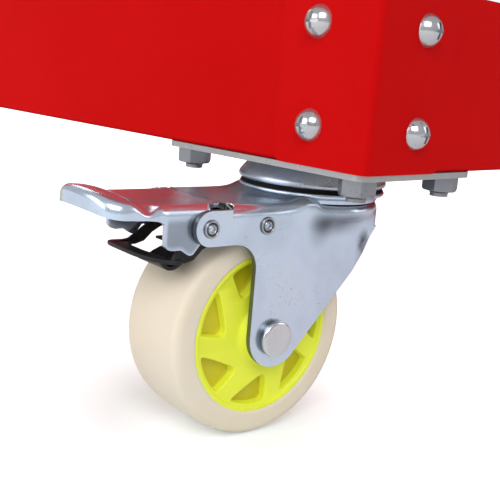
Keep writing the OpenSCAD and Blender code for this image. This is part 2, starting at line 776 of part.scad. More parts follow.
module pedal_solid(inset) {
    top = pedal_top - 1.8 + inset;
    intersection() {
        translate([0, 0, -big / 2]) linear_extrude(big / 2) pedal_plan(inset);
        translate([pedal_back - pedal_run_in, 0, 0]) rotate([90, 0, 90]) linear_extrude(big / 2)
            shoulder_section(pedal_half - inset, top, pedal_edge_r - inset);
    }
}

module brake_pedal(c) {
    color("lightsteelblue") swivel_at(c) difference() {
        intersection() {
            pedal_solid(0);
            translate([0, pedal_half, 0]) rotate([90, 0, 0]) union() {
                linear_extrude(pedal_w) pedal_side();
                translate([pedal_pin_x, -brake_pin_drop, 0]) cylinder(r = pedal_eye_r, h = pedal_w);
            }
        }
        // Hollow below the top sheet
        intersection() {
            pedal_solid(pedal_t);
            translate([0, pedal_half, 0]) rotate([90, 0, 0]) linear_extrude(pedal_w) polygon([
                [pedal_back - 10, -big], [pedal_back - 10, -pedal_top - pedal_dip - pedal_t],
                [ear_front, -pedal_top - pedal_dip - pedal_t], [pedal_rise_x, -pedal_top + 0.4 - pedal_t],
                [pedal_tip + 1, -pedal_top + 1.8 - pedal_t], [pedal_tip + 1, -big]
            ]);
        }
        translate([pedal_pin_x, big / 2, -brake_pin_drop]) rotate([90, 0, 0])
            cylinder(d = brake_pin_d + 2 * run_play, h = big, $fn = 32);
    }
}

// Side view of the lever: eye at the rivet, arm and the front of its plate
module lever_side() {
    translate([lever_pin_x, -brake_pin_drop]) circle(r = lever_eye_r);
    polygon([
        [lever_pin_x + 1, -brake_pin_drop + lever_eye_r - 0.2], [lever_step_x + 3, -lever_top + 4.95],
        [lever_plate_x + 6, -lever_top + 3.55], [lever_tip - 3.2, -lever_top + 3.95],
        [lever_tip - 0.8, -lever_top], [lever_tip, -lever_top - lever_t],
        [lever_plate_x, -lever_top - lever_t],
        [lever_step_x + 2, -lever_top + 1.35], [lever_pin_x, -brake_pin_drop - lever_eye_r]
    ]);
}

// One arm seen from above, stepping in from beside the wheel to the lever's plate
module lever_arm_plan() {
    polygon([
        [lever_pin_x - 6, lever_out], [lever_step_x, lever_out], [lever_step_x + 5, lever_half],
        [lever_tip, lever_half], [lever_tip, lever_half - lever_t],
        [lever_step_x + 4.6, lever_half - lever_t],
        [lever_step_x - 0.4, lever_out - lever_t], [lever_pin_x - 6, lever_out - lever_t]
    ]);
}

module brake_shoe(c) {
    // The shelf that the ears' flat ends rest on begins where those flats begin
    shelf = lever_tip - ear_back - 0.2;
    pad_high = -lever_top - lever_t + 0.4;
    color([0.07, 0.07, 0.07]) swivel_at(c) difference() {
        union() {
            intersection() {
                for (s = [0, 1]) mirror([0, s, 0]) translate([0, 0, -big / 2])
                    linear_extrude(big / 2) lever_arm_plan();
                translate([0, fork_w / 2, 0]) rotate([90, 0, 0]) linear_extrude(fork_w) lever_side();
            }
            // Plate that the pedal's ears press on
            translate([0, 0, -lever_top - lever_t]) linear_extrude(lever_t) {
                translate([lever_plate_x, -lever_half])
                    square([lever_tip - lever_plate_x - 1.6, 2 * lever_half]);
                translate([lever_tip - shelf / 2, 0]) rounded_rect(shelf, pedal_w - 1, 1.2);
            }
            // Pad that meets the tread
            translate([0, pad_w / 2, 0]) rotate([90, 0, 0]) linear_extrude(pad_w) polygon([
                [lever_plate_x, pad_high], [pad_front, pad_high], [pad_front, pad_high - 1.6],
                [pad_front - 5.5, -pad_low + 0.4], [pad_front - 6.9, -pad_low],
                [pad_front - 8.7, -pad_low + 0.2], [lever_plate_x + 0.6, -pad_low + 3.2]
            ]);
        }
        translate([lever_pin_x, big / 2, -brake_pin_drop]) rotate([90, 0, 0])
            cylinder(d = brake_pin_d + 2 * run_play, h = big, $fn = 32);
    }
}

module brake_spring(c) {
    t = 0.8;
    leaf_w = 8;
    root_x = 33;
    bend_x = 44;
    under = deck_drop + fork_t;
    foot = lever_top - 0.3;
    color("dimgray") swivel_at(c) translate([0, leaf_w / 2, 0]) rotate([90, 0, 0])
        linear_extrude(leaf_w) polygon([
            [root_x, -under], [bend_x, -under], [bend_x + 1.4, -under - 0.6],
            [lever_plate_x + 0.6, -foot + 1.4], [lever_plate_x + 2.4, -foot + t],
            [lever_plate_x + 6, -foot + t], [lever_plate_x + 6, -foot], [lever_plate_x + 2, -foot],
            [lever_plate_x, -foot + 0.6], [bend_x + 0.6, -under - t - 0.2], [root_x, -under - t]
        ]);
}

// A tubular rivet along y from y = 0 to length, with a rolled rim at each end
module tube_rivet(length, rim) {
    r = brake_pin_d / 2;
    rim_r = brake_rim_d / 2;
    rotate([-90, 0, 0]) difference() {
        union() {
            cylinder(r = r, h = length, $fn = 32);
            translate([0, 0, -rim]) cylinder(r = rim_r, h = rim, $fn = 32);
            translate([0, 0, length]) cylinder(r = rim_r, h = rim, $fn = 32);
        }
        translate([0, 0, -rim - 1]) cylinder(r = r - 0.9, h = 2.6 + rim, $fn = 32);
        translate([0, 0, length + rim - 2.6]) cylinder(r = r - 0.9, h = 4, $fn = 32);
    }
}

module brake_rivets(c) {
    rim = 0.8;
    stack = fork_w / 2 - lever_out + lever_t;
    color("gainsboro") swivel_at(c) {
        translate([pedal_pin_x, -fork_w / 2, -brake_pin_drop]) tube_rivet(fork_w, rim);
        for (s = [0, 1]) mirror([0, s, 0])
            translate([lever_pin_x, lever_out - lever_t - 0.1, -brake_pin_drop]) tube_rivet(stack + 0.1, rim);
    }
}

tray(0);  // tray_bottom
tray(1);  // tray_middle
tray(2);  // tray_top
post(front_left);  // post_front_left
post(front_right);  // post_front_right
post(rear_left);  // post_rear_left
post(rear_right);  // post_rear_right
tray_screws();
tray_nuts();
handle_bar();
handle_grip();
handle_screws();
caster_bolts();
caster_nuts();
plate(front_left);  // plate_front_left
race_cup(front_left);  // race_cup_front_left
kingpin(front_left);  // kingpin_front_left
balls(front_left);  // balls_front_left
fork(front_left);  // fork_front_left
axle(front_left);  // axle_front_left
bush(front_left);  // bush_front_left
tyre(front_left);  // tyre_front_left
hub(front_left);  // hub_front_left
brake_pedal(front_left);  // brake_pedal_front_left
brake_shoe(front_left);  // brake_shoe_front_left
brake_spring(front_left);  // brake_spring_front_left
brake_rivets(front_left);  // brake_rivets_front_left
plate(rear_left);  // plate_rear_left
race_cup(rear_left);  // race_cup_rear_left
kingpin(rear_left);  // kingpin_rear_left
balls(rear_left);  // balls_rear_left
fork(rear_left);  // fork_rear_left
axle(rear_left);  // axle_rear_left
bush(rear_left);  // bush_rear_left
tyre(rear_left);  // tyre_rear_left
hub(rear_left);  // hub_rear_left
brake_pedal(rear_left);  // brake_pedal_rear_left
brake_shoe(rear_left);  // brake_shoe_rear_left
brake_spring(rear_left);  // brake_spring_rear_left
brake_rivets(rear_left);  // brake_rivets_rear_left
plate(front_right);  // plate_front_right
race_cup(front_right);  // race_cup_front_right
kingpin(front_right);  // kingpin_front_right
balls(front_right);  // balls_front_right
fork(front_right);  // fork_front_right
axle(front_right);  // axle_front_right
bush(front_right);  // bush_front_right
tyre(front_right);  // tyre_front_right
hub(front_right);  // hub_front_right
plate(rear_right);  // plate_rear_right
race_cup(rear_right);  // race_cup_rear_right
kingpin(rear_right);  // kingpin_rear_right
balls(rear_right);  // balls_rear_right
fork(rear_right);  // fork_rear_right
axle(rear_right);  // axle_rear_right
bush(rear_right);  // bush_rear_right
tyre(rear_right);  // tyre_rear_right
hub(rear_right);  // hub_rear_right
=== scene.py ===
import json
import math

import bmesh
import bpy
from mathutils import Matrix, Vector
from mathutils.geometry import delaunay_2d_cdt, tessellate_polygon


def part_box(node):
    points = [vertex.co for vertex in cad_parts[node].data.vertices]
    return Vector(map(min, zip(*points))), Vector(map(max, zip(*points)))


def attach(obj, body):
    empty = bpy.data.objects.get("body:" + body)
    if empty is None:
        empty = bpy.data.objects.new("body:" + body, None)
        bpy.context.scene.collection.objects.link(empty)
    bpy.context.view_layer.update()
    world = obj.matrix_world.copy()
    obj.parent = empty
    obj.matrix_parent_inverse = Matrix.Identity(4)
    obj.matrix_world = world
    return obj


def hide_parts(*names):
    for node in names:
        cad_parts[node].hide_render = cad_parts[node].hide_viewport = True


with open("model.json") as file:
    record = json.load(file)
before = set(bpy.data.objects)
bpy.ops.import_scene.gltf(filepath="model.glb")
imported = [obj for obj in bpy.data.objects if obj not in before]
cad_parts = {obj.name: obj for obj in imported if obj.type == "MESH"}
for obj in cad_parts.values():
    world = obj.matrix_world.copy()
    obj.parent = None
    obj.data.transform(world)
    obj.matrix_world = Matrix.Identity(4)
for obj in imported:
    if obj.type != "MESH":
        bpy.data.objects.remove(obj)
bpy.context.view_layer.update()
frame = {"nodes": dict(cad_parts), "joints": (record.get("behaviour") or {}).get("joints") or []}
MM = 0.001

# Places taken from the frame
JOINTS = {j["name"]: j for j in frame["joints"]}
POST_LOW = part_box("post_front_left")[0]
CORNERS = ["front_left", "rear_left", "front_right", "rear_right"]
BRAKED = ["front_left", "rear_left"]


def caster_matrix(corner):
    """Caster frame in millimetres: x towards the wheel, z up from the tray's underside."""
    across = Vector(JOINTS[f"wheel_spin_{corner}"]["axis"])
    up = Vector((0, 0, 1))
    ahead = across.cross(up)
    m = Matrix((ahead, across, up)).transposed().to_4x4()
    m.translation = Vector(JOINTS[f"swivel_{corner}"]["pos_m"])
    return m @ Matrix.Scale(MM, 4)


# Camera, from the fit to the photograph, measured from the lower end of the front left post
CAMERA_FROM_POST = Vector((-201.9, -157.5, 29.2)) * MM
CAMERA_RIGHT = Vector((0.720, -0.689, 0.083))
CAMERA_FORWARD = Vector((0.689, 0.694, -0.210))
FOCAL_PX = 845.6
FRAME_PX = 500
SENSOR_MM = 36


def make_camera():
    """The photograph's camera."""
    data = bpy.data.cameras.new("camera")
    data.sensor_width = SENSOR_MM
    data.lens = FOCAL_PX / FRAME_PX * SENSOR_MM
    data.clip_start = 0.01
    data.clip_end = 50
    cam = bpy.data.objects.new("camera", data)
    bpy.context.scene.collection.objects.link(cam)
    forward = CAMERA_FORWARD.normalized()
    right = (CAMERA_RIGHT - CAMERA_RIGHT.dot(forward) * forward).normalized()
    up = right.cross(forward)
    turn = Matrix((right, up, -forward)).transposed().to_4x4()
    cam.matrix_world = Matrix.Translation(POST_LOW + CAMERA_FROM_POST) @ turn
    bpy.context.scene.camera = cam


def math_node(tree, operation, a, b):
    """Combines an output with another one or with a plain number."""
    node = tree.nodes.new("ShaderNodeMath")
    node.operation = operation
    tree.links.new(a, node.inputs[0])
    if isinstance(b, float):
        node.inputs[1].default_value = b
    else:
        tree.links.new(b, node.inputs[1])
    return node.outputs[0]


class Nodes:
    """Short calls for building one material's node tree."""

    def __init__(self, name):
        self.mat = bpy.data.materials.new(name)
        self.mat.use_nodes = True
        self.tree = self.mat.node_tree
        self.bsdf = self.tree.nodes["Principled BSDF"]
        self.coords = self.tree.nodes.new("ShaderNodeTexCoord").outputs["Object"]

    def link(self, out, to):
        self.tree.links.new(out, to)

    def feed(self, **outputs):
        """Links outputs to the shader's own inputs, with _ for a space in their names."""
        for name, out in outputs.items():
            self.link(out, self.bsdf.inputs[name.replace("_", " ")])

    def set(self, **values):
        """Constants on the shader's own inputs, with _ for a space in their names."""
        for name, value in values.items():
            self.bsdf.inputs[name.replace("_", " ")].default_value = value

    def noise(self, scale, detail, rough=0.5, stretch=None):
        n = self.tree.nodes.new("ShaderNodeTexNoise")
        n.inputs["Scale"].default_value = scale
        n.inputs["Detail"].default_value = detail
        n.inputs["Roughness"].default_value = rough
        place = self.coords
        if stretch:
            m = self.tree.nodes.new("ShaderNodeMapping")
            m.inputs["Scale"].default_value = stretch
            self.link(self.coords, m.inputs["Vector"])
            place = m.outputs["Vector"]
        self.link(place, n.inputs["Vector"])
        return n.outputs["Fac"]

    def ramp(self, fac, *stops):
        r = self.tree.nodes.new("ShaderNodeValToRGB")
        while len(r.color_ramp.elements) < len(stops):
            r.color_ramp.elements.new(0.5)
        for e, (at, colour) in zip(r.color_ramp.elements, stops):
            e.position = at
            e.color = (*colour, 1)
        self.link(fac, r.inputs["Fac"])
        return r.outputs["Color"]

    def span(self, fac, low, high, from_low=0.0, from_high=1.0):
        m = self.tree.nodes.new("ShaderNodeMapRange")
        m.inputs["From Min"].default_value = from_low
        m.inputs["From Max"].default_value = from_high
        m.inputs["To Min"].default_value = low
        m.inputs["To Max"].default_value = high
        self.link(fac, m.inputs["Value"])
        return m.outputs["Result"]

    def mix(self, fac, a, b):
        m = self.tree.nodes.new("ShaderNodeMix")
        m.data_type = "RGBA"
        self.link(fac, m.inputs["Factor"])
        for socket, value in ((m.inputs["A"], a), (m.inputs["B"], b)):
            if isinstance(value, tuple):
                socket.default_value = (*value, 1)
            else:
                self.link(value, socket)
        return m.outputs["Result"]

    def attribute(self, name):
        a = self.tree.nodes.new("ShaderNodeAttribute")
        a.attribute_name = name
        return a.outputs["Fac"]

    def add(self, a, b):
        return math_node(self.tree, "ADD", a, b)

    def bump(self, height, distance, strength):
        b = self.tree.nodes.new("ShaderNodeBump")
        b.inputs["Distance"].default_value = distance
        b.inputs["Strength"].default_value = strength
        self.link(height, b.inputs["Height"])
        self.feed(Normal=b.outputs["Normal"])


def red_paint():
    """Smooth powder coat with a few dust nibs."""
    n = Nodes("red_paint")
    n.feed(Base_Color=n.ramp(n.noise(14, 3), (0.3, (0.53, 0.0026, 0.0030)), (0.7, (0.58, 0.0036, 0.0042))),
           Roughness=n.span(n.noise(60, 4), 0.52, 0.60))
    nibs = n.span(n.noise(260, 1), 0.0, 1.0, 0.76, 0.82)
    n.bump(n.add(nibs, n.span(n.noise(120, 2), 0, 0.25)), 0.00006, 0.3)
    n.set(Specular_IOR_Level=0.02)
    return n.mat


def zinc(name="zinc", tint=(0.44, 0.47, 0.54), rough=(0.24, 0.40), pits=0.5, grain=1500):
    """Bright zinc plate: cloudy tint, small dark pits and the painted shade that a piece's own attribute
    marks.
    """
    n = Nodes(name)
    dark = tuple(0.84 * t for t in tint)
    warm = (tint[0] * 1.05, tint[1] * 1.02, tint[2] * 0.97)
    cloud = n.ramp(n.noise(38, 4, 0.55), (0.3, dark), (0.5, tint), (0.72, warm))
    specks = n.span(n.noise(grain, 3, 0.6), 0.0, 0.8, 0.60, 0.66)
    patches = n.span(n.noise(75, 3), 0.0, pits, 0.50, 0.64)
    pitted = n.mix(math_node(n.tree, "MULTIPLY", specks, patches), cloud, (0.10, 0.095, 0.09))
    # Painted shade: where a piece's attribute says so, the zinc is darkened towards near black.
    n.feed(Base_Color=n.mix(n.attribute("painted_shade"), pitted, (0.045, 0.05, 0.062)),
           Roughness=n.span(n.noise(220, 5, 0.65), *rough))
    n.bump(n.add(n.span(n.noise(140, 3, 0.5), 0, 1), n.span(n.noise(900, 2), 0, 0.25)), 0.00009, 0.35)
    n.set(Metallic=0.88)
    return n.mat


def nylon():
    """Cream nylon with darker scuffs round the tread."""
    n = Nodes("nylon")
    cloud = n.ramp(n.noise(30, 3), (0.3, (0.80, 0.70, 0.55)), (0.7, (0.83, 0.75, 0.62)))
    scuffs = n.span(n.noise(55, 5, 0.7, (1.0, 1.0, 5.0)), 0.0, 0.35, 0.60, 0.80)
    n.feed(Base_Color=n.mix(scuffs, cloud, (0.60, 0.52, 0.42)), Roughness=n.span(n.noise(150, 3), 0.38, 0.50))
    n.bump(n.noise(400, 3), 0.00006, 0.35)
    n.set(Subsurface_Weight=0.12, Subsurface_Radius=(1.0, 0.7, 0.4), Subsurface_Scale=0.002)
    return n.mat


def hub_plastic(name="hub_plastic", low=(0.84, 0.91, 0.045), high=(0.90, 0.96, 0.065)):
    n = Nodes(name)
    n.feed(Base_Color=n.ramp(n.noise(60, 3), (0.3, low), (0.7, high)),
           Roughness=n.span(n.noise(180, 3), 0.32, 0.42))
    n.bump(n.noise(600, 2), 0.00004, 0.3)
    n.set(Specular_IOR_Level=0.35)
    return n.mat


def black_paint():
    n = Nodes("black_paint")
    colour = n.ramp(n.noise(160, 5, 0.6), (0.35, (0.006, 0.006, 0.006)), (0.85, (0.022, 0.021, 0.02)))
    n.feed(Base_Color=colour, Roughness=n.span(n.noise(300, 4), 0.30, 0.48))
    n.bump(n.noise(500, 3), 0.00008, 0.45)
    n.set(Specular_IOR_Level=0.35)
    return n.mat


# Near-black paint for the ring in the gap between race cup and crown: painted shade for the dark inside of
# the gap.
def gap_shade_paint():
    n = Nodes("gap_shade_paint")
    n.feed(Base_Color=n.ramp(n.noise(200, 3), (0.3, (0.003, 0.003, 0.003)), (0.7, (0.007, 0.006, 0.005))),
           Roughness=n.span(n.noise(300, 3), 0.5, 0.7))
    n.bump(n.noise(500, 3), 0.0001, 0.4)
    n.set(Specular_IOR_Level=0.12)
    return n.mat


def grip_rubber():
    n = Nodes("grip_rubber")
    n.feed(Base_Color=n.ramp(n.noise(90, 3), (0.3, (0.018, 0.018, 0.019)), (0.7, (0.03, 0.03, 0.032))),
           Roughness=n.span(n.noise(200, 3), 0.55, 0.75))
    n.bump(n.noise(1500, 2), 0.00008, 0.5)
    return n.mat


def arc(centre, r, start, end, steps):
    """Points along an arc, from start to end degrees, both included."""
    out = []
    for k in range(steps + 1):
        a = math.radians(start + (end - start) * k / steps)
        out.append((centre[0] + r * math.cos(a), centre[1] + r * math.sin(a)))
    return out


def ease(low, high, v):
    """0 below low, 1 above high, smooth between."""
    t = min(1.0, max(0.0, (v - low) / (high - low)))
    return t * t * (3 - 2 * t)


def run(start, end, count):
    """Evenly spaced values from start to end, both included."""
    return [start + (end - start) * k / count for k in range(count + 1)]


def outward(points, k):
    """Unit normal on the left of a run of points, at point k."""
    a, b = points[max(0, k - 1)], points[min(len(points) - 1, k + 1)]
    dx, dy = b[0] - a[0], b[1] - a[1]
    size = math.hypot(dx, dy)
    return -dy / size, dx / size


def smooth_line(points, steps):
    """Catmull-Rom curve through a few points."""
    out = []
    ends = [points[0]] + list(points) + [points[-1]]
    for k in range(1, len(ends) - 2):
        p0, p1, p2, p3 = (Vector(p) for p in ends[k - 1:k + 3])
        for j in range(steps):
            t = j / steps
            out.append(tuple(0.5 * ((2 * p1) + (p2 - p0) * t + (2 * p0 - 5 * p1 + 4 * p2 - p3) * t * t
                                    + (3 * p1 - p0 - 3 * p2 + p3) * t ** 3)))
    out.append(tuple(points[-1]))
    return out


def piece(name, shape, matrix, mat, body, replaces=(), up=None, shade=None):
    """A mesh object from vertices and faces in millimetres.

    up names a point whose normal is +z, and shade(point) how much painted shade darkens the surface there, 0
    to 1."""
    verts, faces = shape
    mesh = bpy.data.meshes.new(name)
    mesh.from_pydata([tuple(v) for v in verts], [], faces)
    bm = bmesh.new()
    bm.from_mesh(mesh)
    bmesh.ops.remove_doubles(bm, verts=bm.verts, dist=0.004)
    bmesh.ops.dissolve_degenerate(bm, edges=bm.edges, dist=0.002)
    bmesh.ops.recalc_face_normals(bm, faces=bm.faces)
    if up:
        bm.faces.ensure_lookup_table()
        near = min(bm.faces, key=lambda f: (f.calc_center_median() - Vector(up)).length)
        if near.normal.z < 0:
            bmesh.ops.reverse_faces(bm, faces=bm.faces)
    bm.to_mesh(mesh)
    bm.free()
    # The attribute carries painted shade, which darkens the zinc where shade falls.
    if shade:
        layer = mesh.attributes.new("painted_shade", "FLOAT", "POINT")
        layer.data.foreach_set("value", [shade(v.co) for v in mesh.vertices])
    mesh.transform(matrix)
    for p in mesh.polygons:
        p.use_smooth = True
    mesh.set_sharp_from_angle(angle=math.radians(38))
    mesh.materials.append(mat)
    obj = bpy.data.objects.new(name, mesh)
    bpy.context.scene.collection.objects.link(obj)
    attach(obj, body)
    for node in replaces:
        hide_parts(node)
    return obj


def thicken(obj, t_mm, edge_mm, edge_mat=None):
    """Gives a sheet its thickness inwards and rounds its cut edges, which may have their own material."""
    s = obj.modifiers.new("sheet", "SOLIDIFY")
    s.thickness = t_mm * MM
    s.offset = -1
    if edge_mat:
        obj.data.materials.append(edge_mat)
        s.material_offset_rim = 1
    soften(obj, edge_mm)


def soften(obj, edge_mm):
    """Rounds the edges that turn by more than 50 degrees."""
    b = obj.modifiers.new("edge", "BEVEL")
    b.width = edge_mm * MM
    b.segments = 2
    b.limit_method = "ANGLE"
    b.angle_limit = math.radians(50)
    b.use_clamp_overlap = True
    b.harden_normals = True


def join(*shapes):
    """One shape, which is a pair of vertices and faces, from several."""
    verts, faces = [], []
    for v, f in shapes:
        base = len(verts)
        verts += list(v)
        faces += [tuple(i + base for i in face) for face in f]
    return verts, faces


def moved(shape, matrix):
    return [matrix @ Vector(v) for v in shape[0]], shape[1]


def lathe(profile, steps):
    """Turns (radius, height) points about z."""
    verts, faces = [], []
    n = len(profile)
    for k in range(steps):
        a = 2 * math.pi * k / steps
        for r, z in profile:
            verts.append((r * math.cos(a), r * math.sin(a), z))
    for k in range(steps):
        for j in range(n - 1):
            a, b = k * n + j, ((k + 1) % steps) * n + j
            faces.append((a, b, b + 1, a + 1))
    return verts, faces


def slab(outline, low, high):
    """A prism: outline in x and y, between two heights."""
    n = len(outline)
    verts = [(x, y, low) for x, y in outline] + [(x, y, high) for x, y in outline]
    faces = [tuple(range(n))[::-1], tuple(range(n, 2 * n))]
    faces += [(k, (k + 1) % n, n + (k + 1) % n, n + k) for k in range(n)]
    return verts, faces


def grid(rows):
    """Faces over a list of rows of points, all rows of one length."""
    m = len(rows[0])
    verts = [v for row in rows for v in row]
    faces = []
    for j in range(len(rows) - 1):
        for k in range(m - 1):
            faces.append((j * m + k, j * m + k + 1, (j + 1) * m + k + 1, (j + 1) * m + k))
    return verts, faces


def clearance(x, z, outline):
    """Distance from a point inside an outline to its nearest corner or middle of an edge, 0 outside it."""
    inside = False
    near = math.inf
    for (x0, z0), (x1, z1) in zip(outline, outline[1:] + outline[:1]):
        if (z0 > z) != (z1 > z) and x < x0 + (z - z0) * (x1 - x0) / (z1 - z0):
            inside = not inside
        near = min(near, math.hypot(x - x0, z - z0), math.hypot(x - (x0 + x1) / 2, z - (z0 + z1) / 2))
    return near if inside else 0.0


# A lattice of near-equilateral triangles, in parts of its step
ROW_STEP = 0.87
LATTICE_CLEARANCE = 0.55


def filled(outline, step):
    """Triangles inside an outline, with extra points on a lattice so that shading stays even."""
    lattice = []
    xs, zs = [p[0] for p in outline], [p[1] for p in outline]
    rows = run(min(zs), max(zs), round((max(zs) - min(zs)) / (ROW_STEP * step)))
    columns = run(min(xs), max(xs), round((max(xs) - min(xs)) / step))
    for i, z in enumerate(rows):
        for x in (column + 0.5 * step * (i % 2) for column in columns):
            if clearance(x, z, outline) > LATTICE_CLEARANCE * step:
                lattice.append((x, z))
    border = [list(range(len(outline)))]
    points, _, faces = delaunay_2d_cdt([Vector(p) for p in outline + lattice], [], border, 1, 1e-5)[:3]
    return [tuple(p) for p in points], [tuple(f) for f in faces]


# Pressed sheets: steps round the bend, least wall below it, and half the nose's width that one face closes
BEND_STEPS = 7
LEAST_WALL = 0.3
NOSE_HALF = 2.5


def pressed_cap(rim, top, bend, low, wall_rows, columns):
    """A pressed sheet's outer face: rim points run round the free edge and mirror about y = 0.

    top(x, y) is the height of the top, bend(x, y) the radius at the rim and low(k) the free edge's height."""
    skirt, crown = [], []
    facing = 1 if outward(rim, 1)[1] > 0 else -1
    for k, (x, y) in enumerate(rim):
        nx, ny = (facing * v for v in outward(rim, k))
        r = bend(x, y)
        ix, iy = x - nx * r, y - ny * r
        z = top(ix, iy)
        crown.append((ix, iy, z))
        row = []
        for a in run(0, math.pi / 2, BEND_STEPS):
            s = r * (1 - math.sin(a))
            row.append((x - nx * s, y - ny * s, z - r * (1 - math.cos(a))))
        base = z - r
        drop = max(base - low(k), LEAST_WALL)
        row += [(x, y, base - drop * j / wall_rows) for j in range(1, wall_rows + 1)]
        skirt.append(row)
    half = len(rim) // 2
    while abs(crown[half][1]) < NOSE_HALF:
        half -= 1
    top_rows = []
    for k in range(half + 1):
        a, b = crown[k], crown[len(rim) - 1 - k]
        row = []
        for t in run(0, 1, columns):
            x, y = a[0] + (b[0] - a[0]) * t, a[1] + (b[1] - a[1]) * t
            row.append((x, y, top(x, y)))
        top_rows.append(row)
    nose = crown[half:len(rim) - half] + top_rows[-1][-2:0:-1]
    return join(grid(skirt), grid(top_rows), (nose, [tuple(range(len(nose)))]))


def cut_holes(shape, inside):
    """The shape without the faces whose middle lies inside a hole."""
    verts, faces = shape
    return verts, [f for f in faces if not inside(sum((Vector(verts[i]) for i in f), Vector()) / len(f))]


def tube(path, radius, sides):
    """A round bead along a path of points, with radius(k) at point k."""
    rows = []
    for k, p in enumerate(path):
        a, b = Vector(path[max(0, k - 1)]), Vector(path[min(len(path) - 1, k + 1)])
        d = (b - a).normalized()
        side = d.cross(Vector((0.3, 0.2, 1))).normalized()
        up = side.cross(d)
        rows.append([Vector(p) + radius(k) * (math.cos(t) * side + math.sin(t) * up)
                     for t in run(0, 2 * math.pi, sides)])
    return grid(rows)


# Sizes of the caster in its own frame, in millimetres: x towards the wheel, y towards the near side
# Fork: its deck, the hood round the swivel, the bend at the deck's rim and where the hood's skirt ends
DECK_Z = -13.5
DECK_FRONT = 51.6
FORK_HALF = 20.5
FORK_T = 2.0
HOOD_R = 24.7
HOOD_BLEND = 0.5
BEND_R = 4.0
SKIRT_LOW = -23.0
# The flare where the deck rises to the crown
FLARE_RISE = 2.2
FLARE_R = 26.0
FLARE_FADE = 3.2
# Horns with the pins, and the side legs down to the axle
HORN_R = 5.7
PEDAL_PIN = (59.6, -20.5)
LEVER_PIN = (37.0, -20.5)
LEG = (29.0, -59.0)
LEG_R = 11.3
FILLET_R = 9.0
BACK_EDGE = [(-5.0, -39.3), (-9.4, -32.8), (-12.3, -27.0)]
BACK_CORNER = (-15.2, SKIRT_LOW)
BACK_LOW = -21.0
SIDE_LATTICE = 2.2
# Fork without a brake: its front, and the fillet under it, which the skirt takes over after 30 degrees
PLAIN_FRONT = 49.3
PLAIN_DROP = 5
PLAIN_LOW_CENTRE = DECK_Z - PLAIN_DROP - FILLET_R
PLAIN_SPLIT = PLAIN_FRONT - FILLET_R * math.cos(math.radians(30))
# Axle with its two heads
AXLE = (30.0, -59.7)
AXLE_R = 4.0
AXLE_HEAD_R = 6.3
AXLE_HEAD_T = 2.8
# Burred hole where each horn leaves the deck: an ellipse laid over the bend
HOLE_X = 54.3
HOLE_HALF = 4.4
HOLE_REACH = 2.75
HOLE_MIDDLE = 22.7
HOLE_LOW = -17.6
# Burr on the hole's rim, and where its middle lies along the pedal's and the fork's sheet
BURR_HALF = 4.5
BURR_REACH = 2.9
PEDAL_BURR_MIDDLE = 2.9
FORK_BURR_MIDDLE = 1.6


def hood_half(x):
    """Half width of the hood's plan: the fork's width, swelling to a round about the swivel."""
    ring = math.sqrt(max(HOOD_R ** 2 - x * x, 0.0))
    return 0.5 * (FORK_HALF + ring + math.sqrt((FORK_HALF - ring) ** 2 + HOOD_BLEND))


def deck_top(x, y):
    """Deck height: level, with a flare up to the crown on the wheel's side."""
    r = math.hypot(x, y)
    front = ease(0.2, 0.75, x / max(r, 0.1)) * ease(20.0, 23.0, r)
    return DECK_Z + FLARE_RISE * front * math.exp(-(max(r - FLARE_R, 0.0) / FLARE_FADE) ** 1.3)


def near_hole(c):
    """Whether a point lies in one of the two burred holes where the horns leave the deck."""
    forward = (c.x - HOLE_X) / HOLE_HALF
    down = (0.707 * (abs(c.y) - c.z) - HOLE_MIDDLE) / HOLE_REACH
    return forward * forward + down * down < 1 and c.z > HOLE_LOW


def flatten_below(v):
    """Draws the hood's round in to the flat side plates below the ball race."""
    x, y, z = v
    if abs(y) > FORK_HALF:
        y = math.copysign(FORK_HALF + (abs(y) - FORK_HALF) * ease(-22.3, -17.6, z), y)
    return x, y, z


def fork_skin(braked):
    """The pressed fork: deck and hood in one cap, and two flat side plates, with horns if braked."""
    front = DECK_FRONT if braked else PLAIN_FRONT
    near = [(x, hood_half(x)) for x in run(front, 44, 20) + run(43, 0, 34)]
    swing = [(HOOD_R * math.cos(a), HOOD_R * math.sin(a)) for a in run(math.radians(93), math.pi, 26)]
    half = near + swing
    rim = half + [(x, -y) for x, y in reversed(half[:-1])]

    def low(k):
        x = rim[k][0]
        if x < BACK_CORNER[0]:
            t = (BACK_CORNER[0] - x) / (BACK_CORNER[0] + HOOD_R)
            return SKIRT_LOW + (BACK_LOW - SKIRT_LOW) * t
        if not braked and x > PLAIN_SPLIT:
            return PLAIN_LOW_CENTRE + math.sqrt(FILLET_R ** 2 - (PLAIN_FRONT - x) ** 2)
        return SKIRT_LOW

    cap = pressed_cap(rim, deck_top, lambda x, y: BEND_R, low, wall_rows=9, columns=28)
    cap = [flatten_below(v) for v in cap[0]], cap[1]
    if braked:
        cap = cut_holes(cap, near_hole)
    edge = [(x, SKIRT_LOW) for x, y in half if x > BACK_CORNER[0] and (braked or x < PLAIN_SPLIT)]
    leg = arc(LEG, LEG_R, -135, 0, 20)
    if braked:
        rise = arc((LEG[0] + LEG_R + FILLET_R, PEDAL_PIN[1] - HORN_R - FILLET_R), FILLET_R, 180, 90, 10)
        rise += arc(PEDAL_PIN, HORN_R, -90, 90, 20)
        rise += [(front, PEDAL_PIN[1] + HORN_R), (front, DECK_Z - BEND_R)]
    else:
        rise = arc((PLAIN_FRONT, PLAIN_LOW_CENTRE), FILLET_R, 180, 150, 5)
    flat, faces = filled(edge + [BACK_CORNER] + BACK_EDGE[::-1] + leg + rise, SIDE_LATTICE)
    sides = [([(x, y, z) for x, z in flat], faces) for y in (FORK_HALF, -FORK_HALF)]
    return join(cap, *sides)


